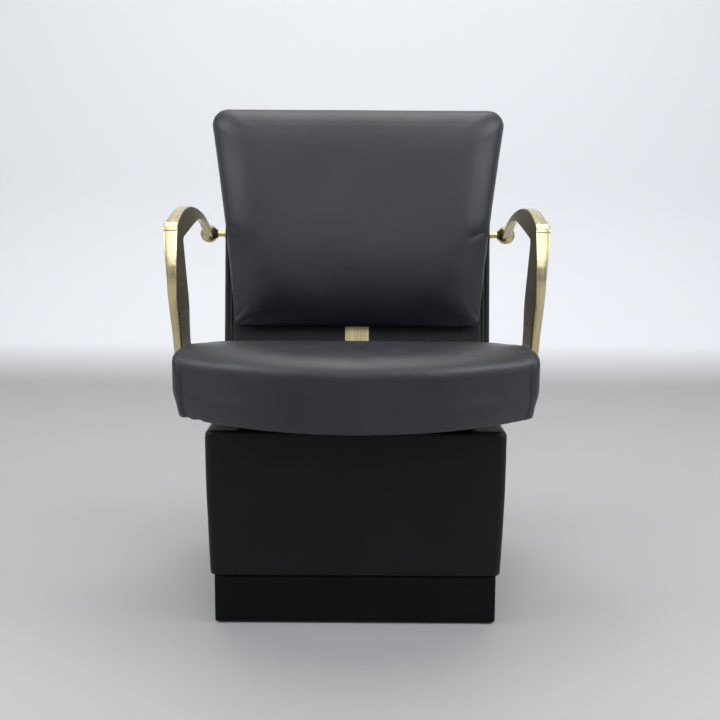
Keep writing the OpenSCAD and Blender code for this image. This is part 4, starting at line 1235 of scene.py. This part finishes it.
def armSides(y, z):
    # inner and outer face at a point of the side view: front view first, then the plan
    h, fy, by = arm["barHeight"], arm["frontY"], arm["pin"][0]
    inner, top = arm["innerX"], arm["innerX"] - arm["stepIn"]
    heights = [arm["seatZ"]] + [arm["seatZ"] + arm["rise"] * share for share in arm["turns"]] + [arm["endZ"]]
    low, leg, face = inner + arm["lowThick"], top + arm["legThick"], top + arm["faceWidth"]
    # the corners of this profile are eased
    steps = np.linspace(-arm["ease"], arm["ease"], 13)
    outerX = sum(np.interp(z + d, heights, [low, low, leg, leg, face, face]) for d in steps) / 13
    innerX = inner - arm["stepIn"] * smoothStep(heights[1], heights[2], z)
    ballX, half = top + arm["ballOut"], arm["neckWidth"] / 2
    neck = smoothStep(by - arm["neckLength"], by - arm["ballRadius"] / 2, y)
    heel = fy + arm["sweep"] + arm["legLow"]
    plan = mixed(face + arm["slack"], low + arm["slack"], smoothStep(fy - 0.4 * h, fy + 1.7 * h, y))
    plan = mixed(plan, top + arm["barWidth"], smoothStep(heel, heel + 3 * h, y))
    plan = mixed(plan, ballX + half, neck)
    # the smaller of the two, with the change from one to the other rounded off
    outerX = (outerX + plan - np.sqrt((outerX - plan) ** 2 + arm["blend"] ** 2)) / 2
    return float(mixed(innerX, ballX - half, neck)), float(outerX)


def armSlab(outline):
    # the side view as a slab with bevelled edges, from which the two faces are then pushed into place
    tangent = unit(np.roll(outline, -1, axis=0) - np.roll(outline, 1, axis=0))
    normal = np.column_stack([-tangent[:, 1], tangent[:, 0]])
    if np.sum((outline - outline.mean(axis=0)) * normal) > 0:
        normal = -normal
    r, slab, cap = arm["bevel"], arm["slab"], arm["bevel"] + arm["capInset"]
    bevel = [(r * (1 - math.sin(a)), r * (1 - math.cos(a))) for a in quarter(4)]
    rings = [(cap, 0.0), *bevel, (0.0, slab / 2)]
    rings += [(inset, slab - depth) for inset, depth in reversed(bevel)] + [(cap, slab)]
    bm = bmesh.new()
    loops = []
    for inset, depth in rings:
        loops.append([bm.verts.new((depth, *p)) for p in outline + normal * inset])
    n = len(outline)
    for first, second in zip(loops, loops[1:]):
        for i in range(n):
            j = (i + 1) % n
            bm.faces.new((first[i], first[j], second[j], second[i]))
    bm.faces.new(loops[0][::-1])
    bm.faces.new(loops[-1])
    return bm


def turnBall(bm, ballX):
    # turned ball with a flat boss for the pin
    by, bz = arm["pin"]
    radius, boss, bevel, hole = (arm[key] for key in ("ballRadius", "bossRadius", "bossBevel", "holeRadius"))
    profile = [(-radius * 0.3, 0.0), (-radius * 0.3, hole), (-radius, hole)]
    profile += [(-radius, boss - bevel), (-radius + bevel, boss)]
    first = math.asin(boss / radius)
    for i in range(1, 25):
        a = first + (math.pi - first) * i / 24
        profile.append((-radius * math.cos(a), radius * math.sin(a) if i < 24 else 0.0))
    rounds = arm["ballRounds"]
    turns = [2 * math.pi * i / rounds for i in range(rounds)]
    loops = []
    for x, r in profile:
        at = [(ballX + x, by + r * math.cos(a), bz + r * math.sin(a)) for a in (turns if r else turns[:1])]
        loops.append([bm.verts.new(p) for p in at])
    for a, b in zip(loops, loops[1:]):
        for i in range(rounds):
            j = (i + 1) % rounds
            ring = [a[i % len(a)], a[j % len(a)], b[j % len(b)], b[i % len(b)]]
            bm.faces.new(list(dict.fromkeys(ring)))


def makeArm(sideName, sign, finishes):
    bm, slab = armSlab(armOutline()), arm["slab"]
    cutAcross(bm, 2, np.arange(arm["cutLow"], arm["cutHigh"], arm["cell"]))
    cutAcross(bm, 1, np.arange(arm["frontY"] - 2 * arm["cell"], arm["pin"][0], arm["cell"]))
    for v in bm.verts:
        inner, outer = armSides(v.co.y, v.co.z)
        if v.co.x < slab / 2 - 1e-6:
            v.co.x = inner + v.co.x
        elif v.co.x > slab / 2 + 1e-6:
            v.co.x = outer - (slab - v.co.x)
        else:
            v.co.x = (inner + outer) / 2
    turnBall(bm, arm["innerX"] - arm["stepIn"] + arm["ballOut"])
    for v in bm.verts:
        v.co.x *= sign
    obj = fromBmesh("arm" + sideName, bm)
    mesh = obj.data
    mesh.shade_smooth()
    mesh.set_sharp_from_angle(angle=math.radians(38))
    mesh.materials.append(finishes["gold_cast"])
    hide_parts("arm_" + sideName.lower())
    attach(obj, "chair")
    print("arm", sideName.lower(), "done")


# stitches along the seams of the panel and the seat, made with geometry nodes

stitch = {
    "spacing": 0.0058,
    "length": 0.0042,
    "radius": 0.00045,
    "sinkShare": 0.55,
}


def stitchTree(mat):
    tree = bpy.data.node_groups.new("stitchRow", "GeometryNodeTree")
    face = tree.interface
    face.new_socket("Geometry", in_out="INPUT", socket_type="NodeSocketGeometry")
    for name in ("Spacing", "Length", "Radius"):
        face.new_socket(name, in_out="INPUT", socket_type="NodeSocketFloat")
    face.new_socket("Geometry", in_out="OUTPUT", socket_type="NodeSocketGeometry")
    new = tree.nodes.new
    start = new("NodeGroupInput").outputs
    points = new("GeometryNodeCurveToPoints")
    points.mode = "LENGTH"
    wired(tree, points, {"Curve": start["Geometry"], "Length": start["Spacing"]})
    bead = wired(tree, new("GeometryNodeMeshUVSphere"), {"Segments": 6, "Rings": 4, "Radius": 1.0})
    half = new("ShaderNodeMath")
    half.operation = "MULTIPLY"
    wired(tree, half, {0: start["Length"], 1: 0.5})
    sizes = {"X": start["Radius"], "Y": start["Radius"], "Z": half.outputs[0]}
    size = wired(tree, new("ShaderNodeCombineXYZ"), sizes)
    align = new("FunctionNodeAlignRotationToVector")
    align.axis = "Z"
    wired(tree, align, {"Vector": points.outputs["Tangent"]})
    place = wired(tree, new("GeometryNodeInstanceOnPoints"), {
        "Points": points.outputs["Points"],
        "Instance": bead.outputs["Mesh"],
        "Rotation": align.outputs["Rotation"],
        "Scale": size.outputs["Vector"],
    })
    real = wired(tree, new("GeometryNodeRealizeInstances"), {"Geometry": place.outputs["Instances"]})
    paint = new("GeometryNodeSetMaterial")
    wired(tree, paint, {"Geometry": real.outputs["Geometry"], "Material": mat})
    wired(tree, new("NodeGroupOutput"), {"Geometry": paint.outputs["Geometry"]})
    return tree


def stitchRow(name, runs, tree):
    curve = bpy.data.curves.new(name, "CURVE")
    curve.dimensions = "3D"
    for run in runs:
        spline = curve.splines.new("POLY")
        spline.points.add(len(run) - 1)
        for p, q in zip(spline.points, run):
            p.co = (*q, 1)
    holder = placed(name + "Path", curve)
    mod = holder.modifiers.new("stitches", "NODES")
    mod.node_group = tree
    sockets = {s.name: s.identifier for s in tree.interface.items_tree if s.in_out == "INPUT"}
    for key in ("Spacing", "Length", "Radius"):
        mod[sockets[key]] = stitch[key.lower()]
    mesh = bpy.data.meshes.new_from_object(holder.evaluated_get(currentGraph()))
    bpy.data.objects.remove(holder)
    mesh.shade_smooth()
    return placed(name, mesh)


def makeStitches(seatRuns):
    mat, tree, shader = newMaterial("blackThread", roughness=0.6, specular=0.3)
    twist = noiseTexture(tree, objectCoords(tree), 2400.0)
    colourMix(tree, shader, twist, (0.012, 0.012, 0.014), (0.035, 0.035, 0.040))
    bump(tree, shader, twist, 0.5, 0.0002)
    rowTree = stitchTree(mat)
    half, length = back["panelHalf"], back["panelLength"]
    sunk = back["seamDepth"] * stitch["sinkShare"]
    runs = []
    for line in back["seams"]:
        for x in (line - half, half - line):
            runs.append(onBack([(x, sunk, z) for z in np.linspace(line, length - line, 60)]))
    for name, rows in (("panelStitches", runs), ("seatStitches", seatRuns)):
        obj = stitchRow(name, rows, rowTree)
        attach(obj, "chair")
    print("stitches done")


makeCamera()
makeLights()
makeStage()
finishes = makeFinishes()
print("finishes done")
makePlinth(finishes)
makeBox(finishes)
makePanel(finishes)
makeArm("Right", 1, finishes)
makeArm("Left", -1, finishes)
makeDustCover(finishes)
makeCushion(finishes)
seatCushion = makeSeat(finishes)
seatRuns = makeSeatSeams(finishes, seatCushion)
makeStitches(seatRuns)
